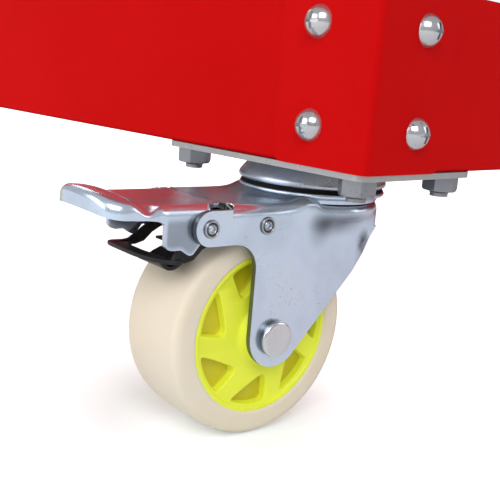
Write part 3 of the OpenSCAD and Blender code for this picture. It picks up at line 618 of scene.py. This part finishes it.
# Turned outlines about the swivel, as (radius, height)
CROWN_LIP = [(21.5, -10.75), (25.2, -10.7), (26.1, -10.75), (26.6, -11.1), (26.65, -11.6), (26.2, -12.1),
             (25.3, -12.45), (24.5, -13.0), (24.0, -14.2)]
# The dark ring under the race cup stands in for the shade in the gap between cup and crown.
GAP_SHADE_PROFILE = [(18.6, -8.6), (25.0, -8.8), (25.7, -9.4), (25.9, -10.1), (25.7, -10.85), (18.6, -11.0)]
CUP = [(19.0, -2.05), (21.4, -2.2), (23.2, -3.0), (25.0, -4.8), (26.4, -6.6), (27.0, -7.7),
       (26.95, -8.5), (26.3, -9.1), (25.2, -9.2), (21.0, -8.7)]


def hole_burr(side, x_low, x_high, half, radius, top, middle):
    """A ragged bead along the part of the hole's rim between two x values.

    The sheet lies flat at height top, and its bend of this radius comes down at y = half. The rim's middle is
    given along the sheet from the start of the bend."""
    start = half - radius
    path = []
    for a in run(0, 2 * math.pi, 60):
        x = HOLE_X + BURR_HALF * math.cos(a)
        q = middle + BURR_REACH * math.sin(a)
        if not x_low <= x <= x_high:
            continue
        if q < 0:
            y, z = start + q, top
        else:
            b = min(q / radius, math.pi / 2)
            y = start + radius * math.sin(b)
            z = top - radius * (1 - math.cos(b)) - max(0.0, q - radius * math.pi / 2)
        path.append((x, side * y, z))
    steps = [(Vector(a) - Vector(b)).length for a, b in zip(path, path[1:])]
    cut = steps.index(max(steps))
    path = path[cut + 1:] + path[:cut + 1]
    return tube(path, lambda k: 0.24 + 0.08 * math.sin(1.7 * k) + 0.06 * math.sin(4.3 * k + side), 7)


# Pedal: plan, rim height, and the ridge, dish and spouts of its top
PEDAL_HALF = 18.0
PEDAL_T = 1.6
PEDAL_BACK = 53.2
PEDAL_TIP = 96.5
PEDAL_CROWN_R = 45.0
PEDAL_CORNER_R = 8.0
PEDAL_RIM = -13.2
PEDAL_BEND = 3.2
PEDAL_RIDGE = 3.8
PEDAL_DISH = 0.7
SPOUT_X = 81.0
SPOUT_DEPTH = 2.4
# Free edge of the pedal's side: the eye round the pin, the stepped ear, then the lip that arches up
EYE_R = 5.6
EAR_STEP = 75.0
EAR_EDGE = [(61.4, -25.4), (64.2, -28.8), (65.6, -29.1), (67.2, -28.2), (68.8, -27.1), (72.4, -27.1),
            (73.8, -26.6), (74.8, -25.4), (EAR_STEP, -19.8), (75.5, -18.6), (77.5, -17.8), (81.0, -17.4),
            (86.0, -17.2)]
LIP_LOW = -15.3
LIP_ARCH = 1.8


def bell(t):
    """A soft bump: 1 at t = 0, 0 from 1 away on either side."""
    return max(0.0, 1 - t * t) ** 2


def pedal_rim():
    """Plan of the pedal from its near back corner round the crowned front to the far one."""
    crown_x = PEDAL_TIP - PEDAL_CROWN_R
    side = PEDAL_HALF - PEDAL_CORNER_R
    corner_x = crown_x + math.sqrt((PEDAL_CROWN_R - PEDAL_CORNER_R) ** 2 - side * side)
    turn = math.degrees(math.atan2(side, corner_x - crown_x))
    straight = run(PEDAL_BACK, 59.4, 22) + run(60, 74.4, 24) + [74.8, 74.9, EAR_STEP, 75.2]
    near = [(x, PEDAL_HALF) for x in straight + run(75.5, corner_x, 16)[:-1]]
    near += arc((corner_x, side), PEDAL_CORNER_R, 90, turn, 14)
    near += arc((crown_x, 0), PEDAL_CROWN_R, turn, 0, 14)[1:]
    return near + [(x, -y) for x, y in reversed(near[:-1])]


def along(points, x):
    """Height of a run of (x, height) points at x."""
    for (x0, z0), (x1, z1) in zip(points, points[1:]):
        if x <= x1:
            return z0 + (z1 - z0) * (x - x0) / (x1 - x0)
    return points[-1][1]


def ear_low(x, y):
    """Height of the pedal's free edge: pin eye, stepped ear, then the lip that arches across the front."""
    if x <= EAR_EDGE[0][0]:
        return PEDAL_PIN[1] - math.sqrt(max(EYE_R ** 2 - min(x - PEDAL_PIN[0], EYE_R - 0.1) ** 2, 0.8))
    if x <= EAR_EDGE[-1][0]:
        return along(EAR_EDGE, x)
    return LIP_LOW - LIP_ARCH * (y / PEDAL_HALF) ** 2


def pedal_top(x, y):
    """Dished top: a spout pinches each edge in front of the ears, and a ridge stands behind the lip."""
    ridge = (PEDAL_RIDGE - 2.5 * (y / PEDAL_HALF) ** 2) * ease(75.5, 92.5, x)
    dish = PEDAL_DISH * (1 - (y / PEDAL_HALF) ** 2) * ease(53, 62, x) * (1 - ease(80, 88, x))
    spout = SPOUT_DEPTH * bell((x - SPOUT_X) / 5.6) * ease(7.5, 16.8, abs(y))
    return PEDAL_RIM + ridge - dish - spout


def pedal_bend(x, y):
    """Radius at the pedal's rim: tight at the spouts and in the lip's middle, wide at the lip's corners."""
    side = PEDAL_BEND - 1.7 * bell((x - SPOUT_X) / 7.5)
    front = 2.2 + 1.9 * ease(9, 16, abs(y))
    return side + (front - side) * ease(84, 92, x)


def pedal_skin():
    """The pressed pedal, with its share of the two burred holes cut out."""
    rim = pedal_rim()
    cap = pressed_cap(rim, pedal_top, pedal_bend, lambda k: ear_low(*rim[k]), wall_rows=12, columns=30)
    return cut_holes(cap, near_hole)


# Lever: its sheet, the top of its cross strip, and the half width over the arms, which narrows at the crank
LEVER_T = 1.5
LEVER_STRIP = -30.8
ARM_WIDE = 18.1
ARM_NARROW = 15.5
CRANK = [(50.6, ARM_WIDE), (51.5, 17.8), (53, 17.1), (54.5, 16.3), (56, ARM_NARROW)]
ARM_STATIONS = [(x, ARM_WIDE) for x in (31, 32.5, 34, 36, 38, 41, 45)] + CRANK
ARM_STATIONS += [(x, ARM_NARROW) for x in (59, 62, 65, 68, 71, 73, 74, 74.8)]
# Upper edges of the two arms, the lower edge of both, and where the near arm ends
ARM_ROOT = [(31, -17.4), (35, -16.6), (39, -16.5)]
FAR_TOP = ARM_ROOT + [(50, -21.6), (56, -24.2), (59.5, -24.5), (62, -26.0), (66, -28.9), (68.5, -30.3),
                      (74.8, LEVER_STRIP)]
NEAR_TOP = ARM_ROOT + [(54, -22.0), (64.0, -22.8), (66.5, -25.4), (70.0, LEVER_STRIP)]
NEAR_END = 69.8
ARM_LOW = [(31, -22.6), (34, -24.4), (37.5, -24.7), (50, -26.0), (56, -26.8), (58.6, -28.1), (62, -31.3),
           (65.4, LEVER_STRIP - LEVER_T), (74.8, LEVER_STRIP - LEVER_T)]
# Plan of the cross strip, side views of the pad under it and of the web between the arms
STRIP = [(70.6, 0), (70.4, -10.4), (67.8, -12.6), (67.8, -16.4), (68.6, -17.5), (73.2, -17.8), (74.6, -16.9),
         (75.2, -14.5), (75.4, 0), (74.9, 6.0), (73.6, 10.5), (71.8, 13.6), (69.6, 15.8), (67.0, 16.6),
         (66.0, 13.6), (69.0, 10.4)]
PAD = [(71.5, -31.6), (69.8, -32.4), (68.4, -34.0), (66.4, -35.3), (64.0, -35.2), (61.5, -33.6),
       (59.5, -32.0)]
PAD_HALF = 8.6
# The web is a black sheet under the burred holes: partly the top of a U-shaped lever, partly a dark sheet
# that stands in for the shade inside the fork.
WEB = [(41, -17.4), (45, -18.4), (49, -20.4)]
WEB_HALF = 16.8
WEB_T = 1.2


def lever_arm(side, top, end):
    """One arm as a closed bar along the stations, up to its end."""
    rows = []
    for x, y in ARM_STATIONS:
        x = min(x, end)
        high, low = along(top, x), along(ARM_LOW, x)
        inner = y - LEVER_T
        corners = [(y, high), (y, low), (inner, low), (inner, high), (y, high)]
        rows.append([(x, side * across, z) for across, z in corners])
    verts, faces = grid(rows)
    last = 5 * (len(rows) - 1)
    return verts, faces + [(0, 1, 2, 3), (last + 3, last + 2, last + 1, last)]


def lever_shape():
    """The black lever: two cranked arms, the web between them, which also stands in for the shade inside the
    fork, and a cross strip.
    """
    arms = [lever_arm(1, NEAR_TOP, NEAR_END), lever_arm(-1, FAR_TOP, ARM_STATIONS[-1][0])]
    path = WEB + [(x, z - WEB_T) for x, z in reversed(WEB)] + WEB[:1]
    web = grid([[(x, y, z) for y in run(-WEB_HALF, WEB_HALF, 8)] for x, z in path])
    return join(*arms, web, slab(STRIP, LEVER_STRIP - LEVER_T, LEVER_STRIP))


def pad_shape():
    """The tongue that is bent down from the strip and back under it, over the tread."""
    rows = []
    for x, z in smooth_line(PAD, 3):
        half = PAD_HALF - 1.4 * (ease(69.5, 71.5, x) + 1 - ease(59.5, 62.0, x))
        rows.append([(x, y, z) for y in run(-half, half, 8)])
    return grid(rows)


# Caster plate: thickness, its bolts' spacing, radius and pitch, their nuts' width across flats and height,
# and the bolts' ends below the plate
PLATE_T = 2.0
BOLT_X, BOLT_Y, BOLT_R, PITCH = 46.5, 79.5, 3.15, 0.8
NUT_AF, NUT_H, BOLT_TIP = 11.0, 5.5, -7.3


def hex_nut(af, height, bore):
    """A nut seated at z = 0 that points to -z, with chamfered corners and an open thread."""
    rows = []
    corner = af / math.sqrt(3)
    for z, limit in ((0, corner), (-0.2, corner), (-height + 1.1, corner), (-height + 0.45, corner * 0.975),
                     (-height, corner * 0.9), (-height, bore * 1.15), (-height + 0.5, bore)):
        row = []
        for a in run(0, 2 * math.pi, 72):
            flat = (af / 2) / math.cos((a % (math.pi / 3)) - math.pi / 6)
            r = min(flat, limit)
            row.append((r * math.cos(a), r * math.sin(a), z))
        rows.append(row)
    return grid(rows)


def thread_rings(r, top, tip):
    """Ridges of a screw's thread, from top down to the tip."""
    z = top
    profile = [(r * 0.9, z)]
    while z - PITCH > tip:
        profile += [(r + 0.02, z - 0.1 * PITCH), (r + 0.28, z - 0.5 * PITCH), (r + 0.02, z - 0.9 * PITCH)]
        z -= PITCH
    profile += [(r + 0.02, tip - 0.02), (r * 0.82, tip - 0.32), (0, tip - 0.32)]
    return lathe(profile, 36)


# Rivets: the rolled end's outline as (radius, height), the shank's radius, the pedal pin's half length and
# the depth of the short ones
ROLLED_END = [(2.95, -0.1), (2.95, 0.35), (2.7, 0.75), (2.3, 0.72), (2.05, 0.25), (1.8, 0.2), (1.45, 0.75),
              (1.1, 0.7), (0.8, -0.2), (0.55, -0.8), (0.0, -0.5)]
RIVET_R = 2.2
PIN_HALF = 19
SHORT_RIVET = 4.2


def rivet_end():
    """A rolled rivet end on z = 0: double ring round a crimped centre."""
    return lathe(smooth_line(ROLLED_END, 3), 40)


def rivet_painted_shade(v):
    """Painted shade in the grooves and the crimped centre of the rolled ends."""
    r = min(math.hypot(v[0] - x, v[2] - z) for x, z in (PEDAL_PIN, LEVER_PIN))
    rings = max(bell((r - 1.95) / 0.45), bell((r - 3.05) / 0.4))
    return 0.9 * max(rings, 1 - ease(0.5, 1.0, r))


# Wheel: tread, and the hub's bore, boss, rolled lip, face and steps round it
WHEEL_R = 37.5
WHEEL_HALF = 15.5
BORE_R = 6.1
BOSS_HALF = 18.1
BOSS_R = 11.2
LIP_R = 26.75
HUB_R = 28.8
FACE = 14.4
HUB_STEPS = 154
# Pinwheel pockets: radii of tip and foot, sweep, a point inside and its reach past the outline, points round
# the outline, how many levels are wall, and each face's direction with the turn of its pockets in degrees
POCKET_R = 26.0
POCKET_COUNT = 7
POCKET_FOOT_R = 15.2
POCKET_SWEEP = math.radians(41)
POCKET_MIDDLE = (20.6, 6.6)
POCKET_REACH = 14.0
POCKET_POINTS = 110
WALL_ROWS = 8
FACE_TURNS = ((1, -40), (-1, 11.4))


def tyre_shape():
    """The tread: flat sides, rounded shoulders and a slightly crowned face."""
    half = [(HUB_R - 0.3, 14.9), (HUB_R + 0.3, 15.3), (HUB_R + 0.9, WHEEL_HALF), (33.0, WHEEL_HALF),
            (34.6, 15.3), (35.9, 14.6), (36.6, 13.4), (36.9, 12.0), (37.2, 8.0), (37.4, 4.0), (WHEEL_R, 0.0)]
    profile = half + [(r, -z) for r, z in reversed(half[:-1])]
    return lathe(smooth_line(profile, 3), 144)


def smooth_min(a, b, k):
    """The smaller of two values, blended where they differ by less than k."""
    h = max(k - abs(a - b), 0.0) / k
    return min(a, b) - h * h * k * 0.25


def pocket_inside(x, y):
    """Distance inside the pinwheel pocket whose tip lies on the x axis, negative outside it."""
    foot = POCKET_FOOT_R * Vector((math.cos(POCKET_SWEEP), math.sin(POCKET_SWEEP)))
    tip = Vector((POCKET_R + 0.4, 0))
    lean = POCKET_SWEEP - math.radians(8)
    edges = []
    for start, end in ((tip, foot), (foot, 1.6 * POCKET_R * Vector((math.cos(lean), math.sin(lean))))):
        d = (end - start).normalized()
        edges.append(d.y * (x - start.x) - d.x * (y - start.y))
    bulge = 0.4 * (1 - ((math.hypot(x, y) - 20.5) / 6) ** 2)
    corner = smooth_min(edges[0] + max(bulge, -0.4), edges[1], 4.0)
    return smooth_min(corner, POCKET_R - math.hypot(x, y), 1.2)


def pocket_outline(level):
    """Points round the pocket where pocket_inside equals level, with the tip's part sampled densely."""
    cx, cy = POCKET_MIDDLE
    out = []
    for k in range(POCKET_POINTS):
        a = 2 * math.pi * k / POCKET_POINTS
        a += 0.35 * math.sin(2 * (a + math.radians(50)))
        low, high = 0.0, POCKET_REACH
        for _ in range(26):
            mid = (low + high) / 2
            if pocket_inside(cx + mid * math.cos(a), cy + mid * math.sin(a)) > level:
                low = mid
            else:
                high = mid
        out.append((cx + low * math.cos(a), cy + low * math.sin(a)))
    return out


def turned(points, a):
    """Points in a plane, turned about its origin."""
    c, s = math.cos(a), math.sin(a)
    return [(x * c - y * s, x * s + y * c) for x, y in points]


def pocket_levels():
    """Outlines and heights from the face over the rounded brink and the sloped wall to the floor."""
    steps = [(-0.55, 0.0), (-0.38, -0.03), (-0.2, -0.14), (-0.06, -0.36), (0.02, -0.7), (0.1, -1.4),
             (0.2, -2.2), (0.3, -2.9), (0.42, -3.3), (0.62, -3.55), (0.9, -3.6)]
    return [(pocket_outline(level), FACE + down) for level, down in steps]


def hub_face(turn, levels):
    """One face of the hub, with boss, pierced flat, lip and pocket walls, and then the pocket floors."""
    angles = [2 * math.pi * k / HUB_STEPS for k in range(HUB_STEPS)]
    inner = [(BOSS_R * math.cos(a), BOSS_R * math.sin(a)) for a in angles]
    outer = [(LIP_R * math.cos(a), LIP_R * math.sin(a)) for a in angles]
    spins = [math.radians(turn) + 2 * math.pi * k / POCKET_COUNT for k in range(POCKET_COUNT)]
    holes = [turned(levels[0][0], a) for a in spins]
    loops = [[Vector((x, y, FACE)) for x, y in loop] for loop in [outer, inner] + holes]
    flat = [v for loop in loops for v in loop]
    shapes = [(flat, [tuple(f) for f in tessellate_polygon(loops)])]
    boss = [(BORE_R, BOSS_HALF), (8.4, BOSS_HALF), (8.9, 17.9), (9.2, 17.4), (10.2, 15.1), (10.6, 14.6),
            (BOSS_R, FACE)]
    lip = [(LIP_R, FACE), (26.9, 14.5), (27.05, 14.85), (27.3, 15.0), (28.3, 15.0), (28.6, 14.9),
           (28.7, 14.6)]
    shapes += [lathe(boss, HUB_STEPS), lathe(lip, HUB_STEPS)]
    floors = []
    for a in spins:
        rows = []
        for outline, z in levels:
            loop = turned(outline, a)
            rows.append([(x, y, z) for x, y in loop + loop[:1]])
        shapes.append(grid(rows[:WALL_ROWS]))
        verts, faces = grid(rows[WALL_ROWS - 1:])
        middle = tuple(range(len(verts) - len(rows[0]), len(verts) - 1))
        floors.append((verts, faces + [middle]))
    return join(*shapes), join(*floors)


def ear_painted_shade(v):
    """Painted shade on the ears, which stops short of their free edge so that the rim stays bright."""
    x, y, z = v
    edge = ear_low(x, y)
    return 0.5 * (1 - ease(-19.0, -16.5, z)) * ease(edge + 0.3, edge + 1.3, z) * (1 - ease(73.6, 74.8, x))


def bell_at(v, centre, reach):
    """A soft bell: 1 at the centre, 0 from one reach away."""
    d = sum(((v[k] - centre[k]) / reach[k]) ** 2 for k in range(len(centre)))
    return max(0.0, 1 - d) ** 1.5


def fork_painted_shade(v):
    """Painted shade in the fold under the hood's bulge, at its back corner and round the crown."""
    x, y, z = v
    side = (x, z)
    fold = 0.66 * bell_at(side, (6.0, -20.8), (15.0, 5.6)) + 0.36 * bell_at(side, (13.0, -22.6), (6.5, 9.0))
    corner = bell_at(side, (-9.0, -29.4), (3.4, 6.4)) if abs(y) > 18 else 0
    collar = 0.5 * ease(-16.6, -15.2, z) * (1 - ease(14, 22, x))
    deck = 0.56 * (1 - ease(27.5, 40, math.hypot(x, y))) * ease(-14.8, -13.9, z)
    return min(1.0, max(fold + corner, deck, collar))


def along_y(x, z, y, facing):
    """Local frame at a point of the caster whose z axis points along +y or -y."""
    turn = Matrix.Rotation(math.radians(-90 * facing), 4, "X")
    return Matrix.Translation((x, y, z)) @ turn


def make_caster_nuts():
    """Chamfered nuts and thread ends under the caster plates, each turned its own way."""
    nuts, threads = [], []
    for k, c in enumerate(CORNERS):
        swivel = Vector(JOINTS[f"swivel_{c}"]["pos_m"]) / MM
        for i, (sx, sy) in enumerate(((1, 1), (1, -1), (-1, 1), (-1, -1))):
            seat = Matrix.Translation(swivel + Vector((sx * BOLT_X / 2, sy * BOLT_Y / 2, -PLATE_T)))
            turn = Matrix.Rotation(math.radians(17 * (4 * k + i)), 4, "Z")
            nuts.append(moved(hex_nut(NUT_AF, NUT_H, BOLT_R + 0.1), seat @ turn))
            threads.append(moved(thread_rings(BOLT_R, -NUT_H + 0.6, BOLT_TIP), seat))
    scale = Matrix.Scale(MM, 4)
    piece("caster_nut_skins", join(*nuts), scale, SHADED_NUT_ZINC, "cart_frame", ["caster_nuts"])
    piece("bolt_threads", join(*threads), scale, SHADED_NUT_ZINC, "cart_frame")


def axle_shape():
    """The axle's rod and its two flat rounded heads, about the wheel's axis."""
    head = smooth_line([(0, AXLE_HEAD_T - 0.15), (3.2, AXLE_HEAD_T - 0.05), (AXLE_HEAD_R - 1.2, AXLE_HEAD_T),
                        (AXLE_HEAD_R - 0.35, AXLE_HEAD_T - 0.35), (AXLE_HEAD_R, AXLE_HEAD_T - 1.1),
                        (AXLE_HEAD_R, 0.4), (AXLE_HEAD_R, -0.2)], 3)
    heads = [moved(lathe(head, 72), along_y(*AXLE, s * FORK_HALF, s)) for s in (1, -1)]
    return join(*heads, moved(lathe([(AXLE_R, -FORK_HALF), (AXLE_R, FORK_HALF)], 40), along_y(*AXLE, 0, 1)))


def axle_painted_shade(v):
    """Painted shade round the foot of the axle's heads."""
    return 0.85 * (1 - ease(FORK_HALF + 1.3, FORK_HALF + 2.3, abs(v[1])))


def hub_shapes():
    """The hub's plastic with both faces, and the floors of its pockets."""
    levels = pocket_levels()
    bore = lathe([(BORE_R, -BOSS_HALF), (BORE_R, BOSS_HALF)], 60)
    plastic, floors = [moved(bore, along_y(*AXLE, 0, 1))], []
    for facing, turn in FACE_TURNS:
        face, floor = hub_face(turn, levels)
        plastic.append(moved(face, along_y(*AXLE, 0, facing)))
        floors.append(moved(floor, along_y(*AXLE, 0, facing)))
    return join(*plastic), join(*floors)


def make_caster(c):
    """One caster's fork, crown, race cup, the dark ring of painted shade in the gap under the cup, axle and
    wheel.
    """
    m = caster_matrix(c)
    braked = c in BRAKED
    swivel, wheel = f"swivel_{c}", f"wheel_{c}"
    fork = piece(f"fork_sheet_{c}", fork_skin(braked), m, FORK_ZINC, swivel, [f"fork_{c}"],
                 up=(10, 0, DECK_Z), shade=fork_painted_shade)
    thicken(fork, FORK_T, 0.3, EDGE_ZINC)
    piece(f"crown_{c}", lathe(smooth_line(CROWN_LIP, 3), 120), m, FORK_ZINC, swivel, [f"fork_{c}"])
    piece(f"race_cup_shell_{c}", lathe(smooth_line(CUP, 3), 120), m, CUP_ZINC, "cart_frame",
          [f"race_cup_{c}"])
    # A near-black ring in the gap between cup and crown, standing in for the shade there.
    piece(f"gap_shade_ring_{c}", lathe(smooth_line(GAP_SHADE_PROFILE, 2), 96), m, GAP_SHADE, swivel)
    piece(f"axle_rod_{c}", axle_shape(), m, BRIGHT_ZINC, swivel, [f"axle_{c}"], shade=axle_painted_shade)
    piece(f"tread_{c}", moved(tyre_shape(), along_y(*AXLE, 0, 1)), m, NYLON, wheel, [f"tyre_{c}"])
    plastic, floors = hub_shapes()
    piece(f"pinwheel_{c}", plastic, m, HUB, wheel, [f"hub_{c}"])
    # The pocket floors take the darker yellow of painted shade.
    piece(f"pocket_floors_{c}", floors, m, HUB_PAINTED_SHADE, wheel, [f"hub_{c}"])


def brake_rivets():
    """The pedal's pin and the lever's two short rivets, with their rolled ends."""
    ends = []
    for x, z in (PEDAL_PIN, LEVER_PIN):
        ends += [moved(rivet_end(), along_y(x, z, s * FORK_HALF, s)) for s in (1, -1)]
    pin = moved(lathe([(RIVET_R, -PIN_HALF), (RIVET_R, PIN_HALF)], 32), along_y(*PEDAL_PIN, 0, 1))
    short = lathe([(RIVET_R, 0), (RIVET_R, -SHORT_RIVET), (0, -SHORT_RIVET)], 32)
    return join(*ends, pin, *(moved(short, along_y(*LEVER_PIN, s * FORK_HALF, s)) for s in (1, -1)))


def make_brake(c):
    """One brake's pedal, lever, pad, rivets and the bright burrs round the holes by its horns."""
    m = caster_matrix(c)
    pedal = piece(f"pedal_sheet_{c}", pedal_skin(), m, FORK_ZINC, f"pedal_{c}", [f"brake_pedal_{c}"],
                  up=(65, 0, PEDAL_RIM), shade=ear_painted_shade)
    thicken(pedal, PEDAL_T, 0.3)
    burrs = [hole_burr(s, PEDAL_BACK + 0.4, math.inf, PEDAL_HALF, PEDAL_BEND, PEDAL_RIM, PEDAL_BURR_MIDDLE)
             for s in (1, -1)]
    piece(f"pedal_burr_{c}", join(*burrs), m, BRIGHT_ZINC, f"pedal_{c}")
    burrs = [hole_burr(s, -math.inf, DECK_FRONT, FORK_HALF, BEND_R, DECK_Z, FORK_BURR_MIDDLE)
             for s in (1, -1)]
    piece(f"fork_burr_{c}", join(*burrs), m, BRIGHT_ZINC, f"swivel_{c}")
    lever = piece(f"lever_{c}", lever_shape(), m, BLACK, f"shoe_{c}", [f"brake_shoe_{c}"])
    soften(lever, 0.35)
    tab = piece(f"pad_{c}", pad_shape(), m, BLACK, f"shoe_{c}", [f"brake_shoe_{c}"])
    sheet = tab.modifiers.new("sheet", "SOLIDIFY")
    sheet.thickness = LEVER_T * MM
    sheet.offset = 0
    soften(tab, 0.4)
    piece(f"rolled_rivets_{c}", brake_rivets(), m, RIVET_ZINC, f"swivel_{c}", [f"brake_rivets_{c}"],
          shade=rivet_painted_shade)


def make_world():
    """White for the camera, and a dimmer, slightly blue light for everything else."""
    world = bpy.data.worlds.new("studio")
    bpy.context.scene.world = world
    world.use_nodes = True
    t = world.node_tree
    t.nodes.clear()
    out = t.nodes.new("ShaderNodeOutputWorld")
    shown = t.nodes.new("ShaderNodeBackground")
    shown.inputs["Color"].default_value = (1, 1, 1, 1)
    shown.inputs["Strength"].default_value = 1.0
    light = t.nodes.new("ShaderNodeBackground")
    light.inputs["Color"].default_value = (0.97, 0.985, 1.0, 1)
    light.inputs["Strength"].default_value = 0.45
    path = t.nodes.new("ShaderNodeLightPath")
    seen = math_node(t, "MAXIMUM", path.outputs["Is Camera Ray"], path.outputs["Is Transmission Ray"])
    mix = t.nodes.new("ShaderNodeMixShader")
    t.links.new(seen, mix.inputs["Fac"])
    t.links.new(light.outputs[0], mix.inputs[1])
    t.links.new(shown.outputs[0], mix.inputs[2])
    t.links.new(mix.outputs[0], out.inputs["Surface"])


# Middle of each wheel's shadow on the floor
FIRST_SHADOW = POST_LOW + Vector((-0.010, 0.058, -POST_LOW.z))
FIRST_SWIVEL = Vector(JOINTS["swivel_front_left"]["pos_m"])
SHADOWS = [FIRST_SHADOW + Vector(JOINTS[f"swivel_{c}"]["pos_m"]) - FIRST_SWIVEL for c in CORNERS]
# The floor's glow and the distances in metres from a shadow's middle between which it rises to full strength.
# The other three shadows count as farther off: the glow mostly hides them, and none reaches the photo's edge.
GLOW_AT_SHADOW, GLOW_FULL = 0.27, 1.0
GLOW_FROM, GLOW_TO = 0.03, 0.12
OTHERS_FARTHER = 0.08


def make_floor():
    """A pale floor that glows white for the camera, but for the soft shadow under the front left wheel."""
    bpy.ops.mesh.primitive_plane_add(size=12)
    floor = bpy.context.object
    floor.name = "floor"
    n = Nodes("floor")
    t = n.tree
    n.set(Base_Color=(0.86, 0.9, 0.91, 1), Roughness=0.6, Specular_IOR_Level=0.0)
    glow = t.nodes.new("ShaderNodeEmission")
    path = t.nodes.new("ShaderNodeLightPath")
    nearest = None
    for at in SHADOWS:
        place = t.nodes.new("ShaderNodeVectorMath")
        place.operation = "DISTANCE"
        n.link(n.coords, place.inputs[0])
        place.inputs[1].default_value = at
        if nearest is None:
            nearest = place.outputs["Value"]
        else:
            farther = math_node(t, "ADD", place.outputs["Value"], OTHERS_FARTHER)
            nearest = math_node(t, "MINIMUM", nearest, farther)
    veil = n.span(nearest, GLOW_AT_SHADOW, GLOW_FULL, GLOW_FROM, GLOW_TO)
    n.link(math_node(t, "MULTIPLY", veil, path.outputs["Is Camera Ray"]), glow.inputs["Strength"])
    total = t.nodes.new("ShaderNodeAddShader")
    n.link(n.bsdf.outputs[0], total.inputs[0])
    n.link(glow.outputs[0], total.inputs[1])
    n.link(total.outputs[0], t.nodes["Material Output"].inputs["Surface"])
    floor.data.materials.append(n.mat)


def area_light(name, size, power, at, towards):
    """A rectangular lamp with a size in metres and a power in watts, aimed at a point."""
    data = bpy.data.lights.new(name, "AREA")
    data.shape = "RECTANGLE"
    data.size, data.size_y = size
    data.energy = power
    lamp = bpy.data.objects.new(name, data)
    lamp.location = at
    lamp.rotation_mode = "QUATERNION"
    lamp.rotation_quaternion = (Vector(towards) - Vector(at)).to_track_quat("-Z", "Y")
    bpy.context.scene.collection.objects.link(lamp)


def make_lights():
    middle = (0, 0, 0.4)
    area_light("key", (1.6, 1.2), 28, (-1.7, -1.5, 1.7), middle)
    area_light("left", (1.8, 1.4), 16, (-2.2, 0.5, 0.9), middle)
    area_light("side", (1.4, 1.4), 10, (1.6, -1.9, 1.2), middle)
    area_light("back", (1.6, 1.2), 16, (0.6, 2.0, 1.6), middle)


make_camera()
make_world()
make_floor()
make_lights()
bpy.context.scene.view_settings.view_transform = "Standard"

RED, NYLON, HUB, BLACK = red_paint(), nylon(), hub_plastic(), black_paint()
GRIP, GAP_SHADE = grip_rubber(), gap_shade_paint()
# The pocket floors' darker yellow is painted shade in the recesses.
HUB_PAINTED_SHADE = hub_plastic("hub_painted_shade", (0.62, 0.55, 0.015), (0.68, 0.61, 0.025))
ZINC = zinc()
FORK_ZINC = zinc("fork_zinc", (0.70, 0.81, 0.97), (0.18, 0.30), 0.6)
EDGE_ZINC = zinc("edge_zinc", (0.17, 0.18, 0.18), (0.35, 0.50), 0.6)
CUP_ZINC = zinc("cup_zinc", (0.50, 0.55, 0.64), (0.22, 0.36), 0.6)
BRIGHT_ZINC = zinc("bright_zinc", (0.72, 0.73, 0.77), (0.12, 0.26), 0.5)
RIVET_ZINC = zinc("rivet_zinc", (0.50, 0.52, 0.56), (0.22, 0.36), 0.6)
# The darker zinc of the nuts and bolt ends is painted shade from the tray above them.
SHADED_NUT_ZINC = zinc("shaded_nut_zinc", (0.31, 0.32, 0.35), (0.26, 0.42), 0.8)
SCREW_ZINC = zinc("screw_zinc", (0.62, 0.63, 0.66), (0.08, 0.30), 1.0, 420)
PLATE_ZINC = zinc("plate_zinc", (0.46, 0.45, 0.45), (0.34, 0.50), 1.0)
# The first of these words in a solid's name gives its material, and the rest are plain zinc
SOLID_PAINTS = {"tray_screws": SCREW_ZINC, "handle_screws": SCREW_ZINC, "caster_bolts": SCREW_ZINC,
                "nuts": SHADED_NUT_ZINC, "plate_": PLATE_ZINC, "brake_spring_": BLACK, "hub_": HUB,
                "handle_grip": GRIP, "handle_bar": RED, "tray_": RED, "post_": RED}
for name, solid in frame["nodes"].items():
    for slot in solid.material_slots:
        slot.material = next((mat for word, mat in SOLID_PAINTS.items() if word in name), ZINC)
make_caster_nuts()
for c in CORNERS:
    make_caster(c)
for c in BRAKED:
    make_brake(c)
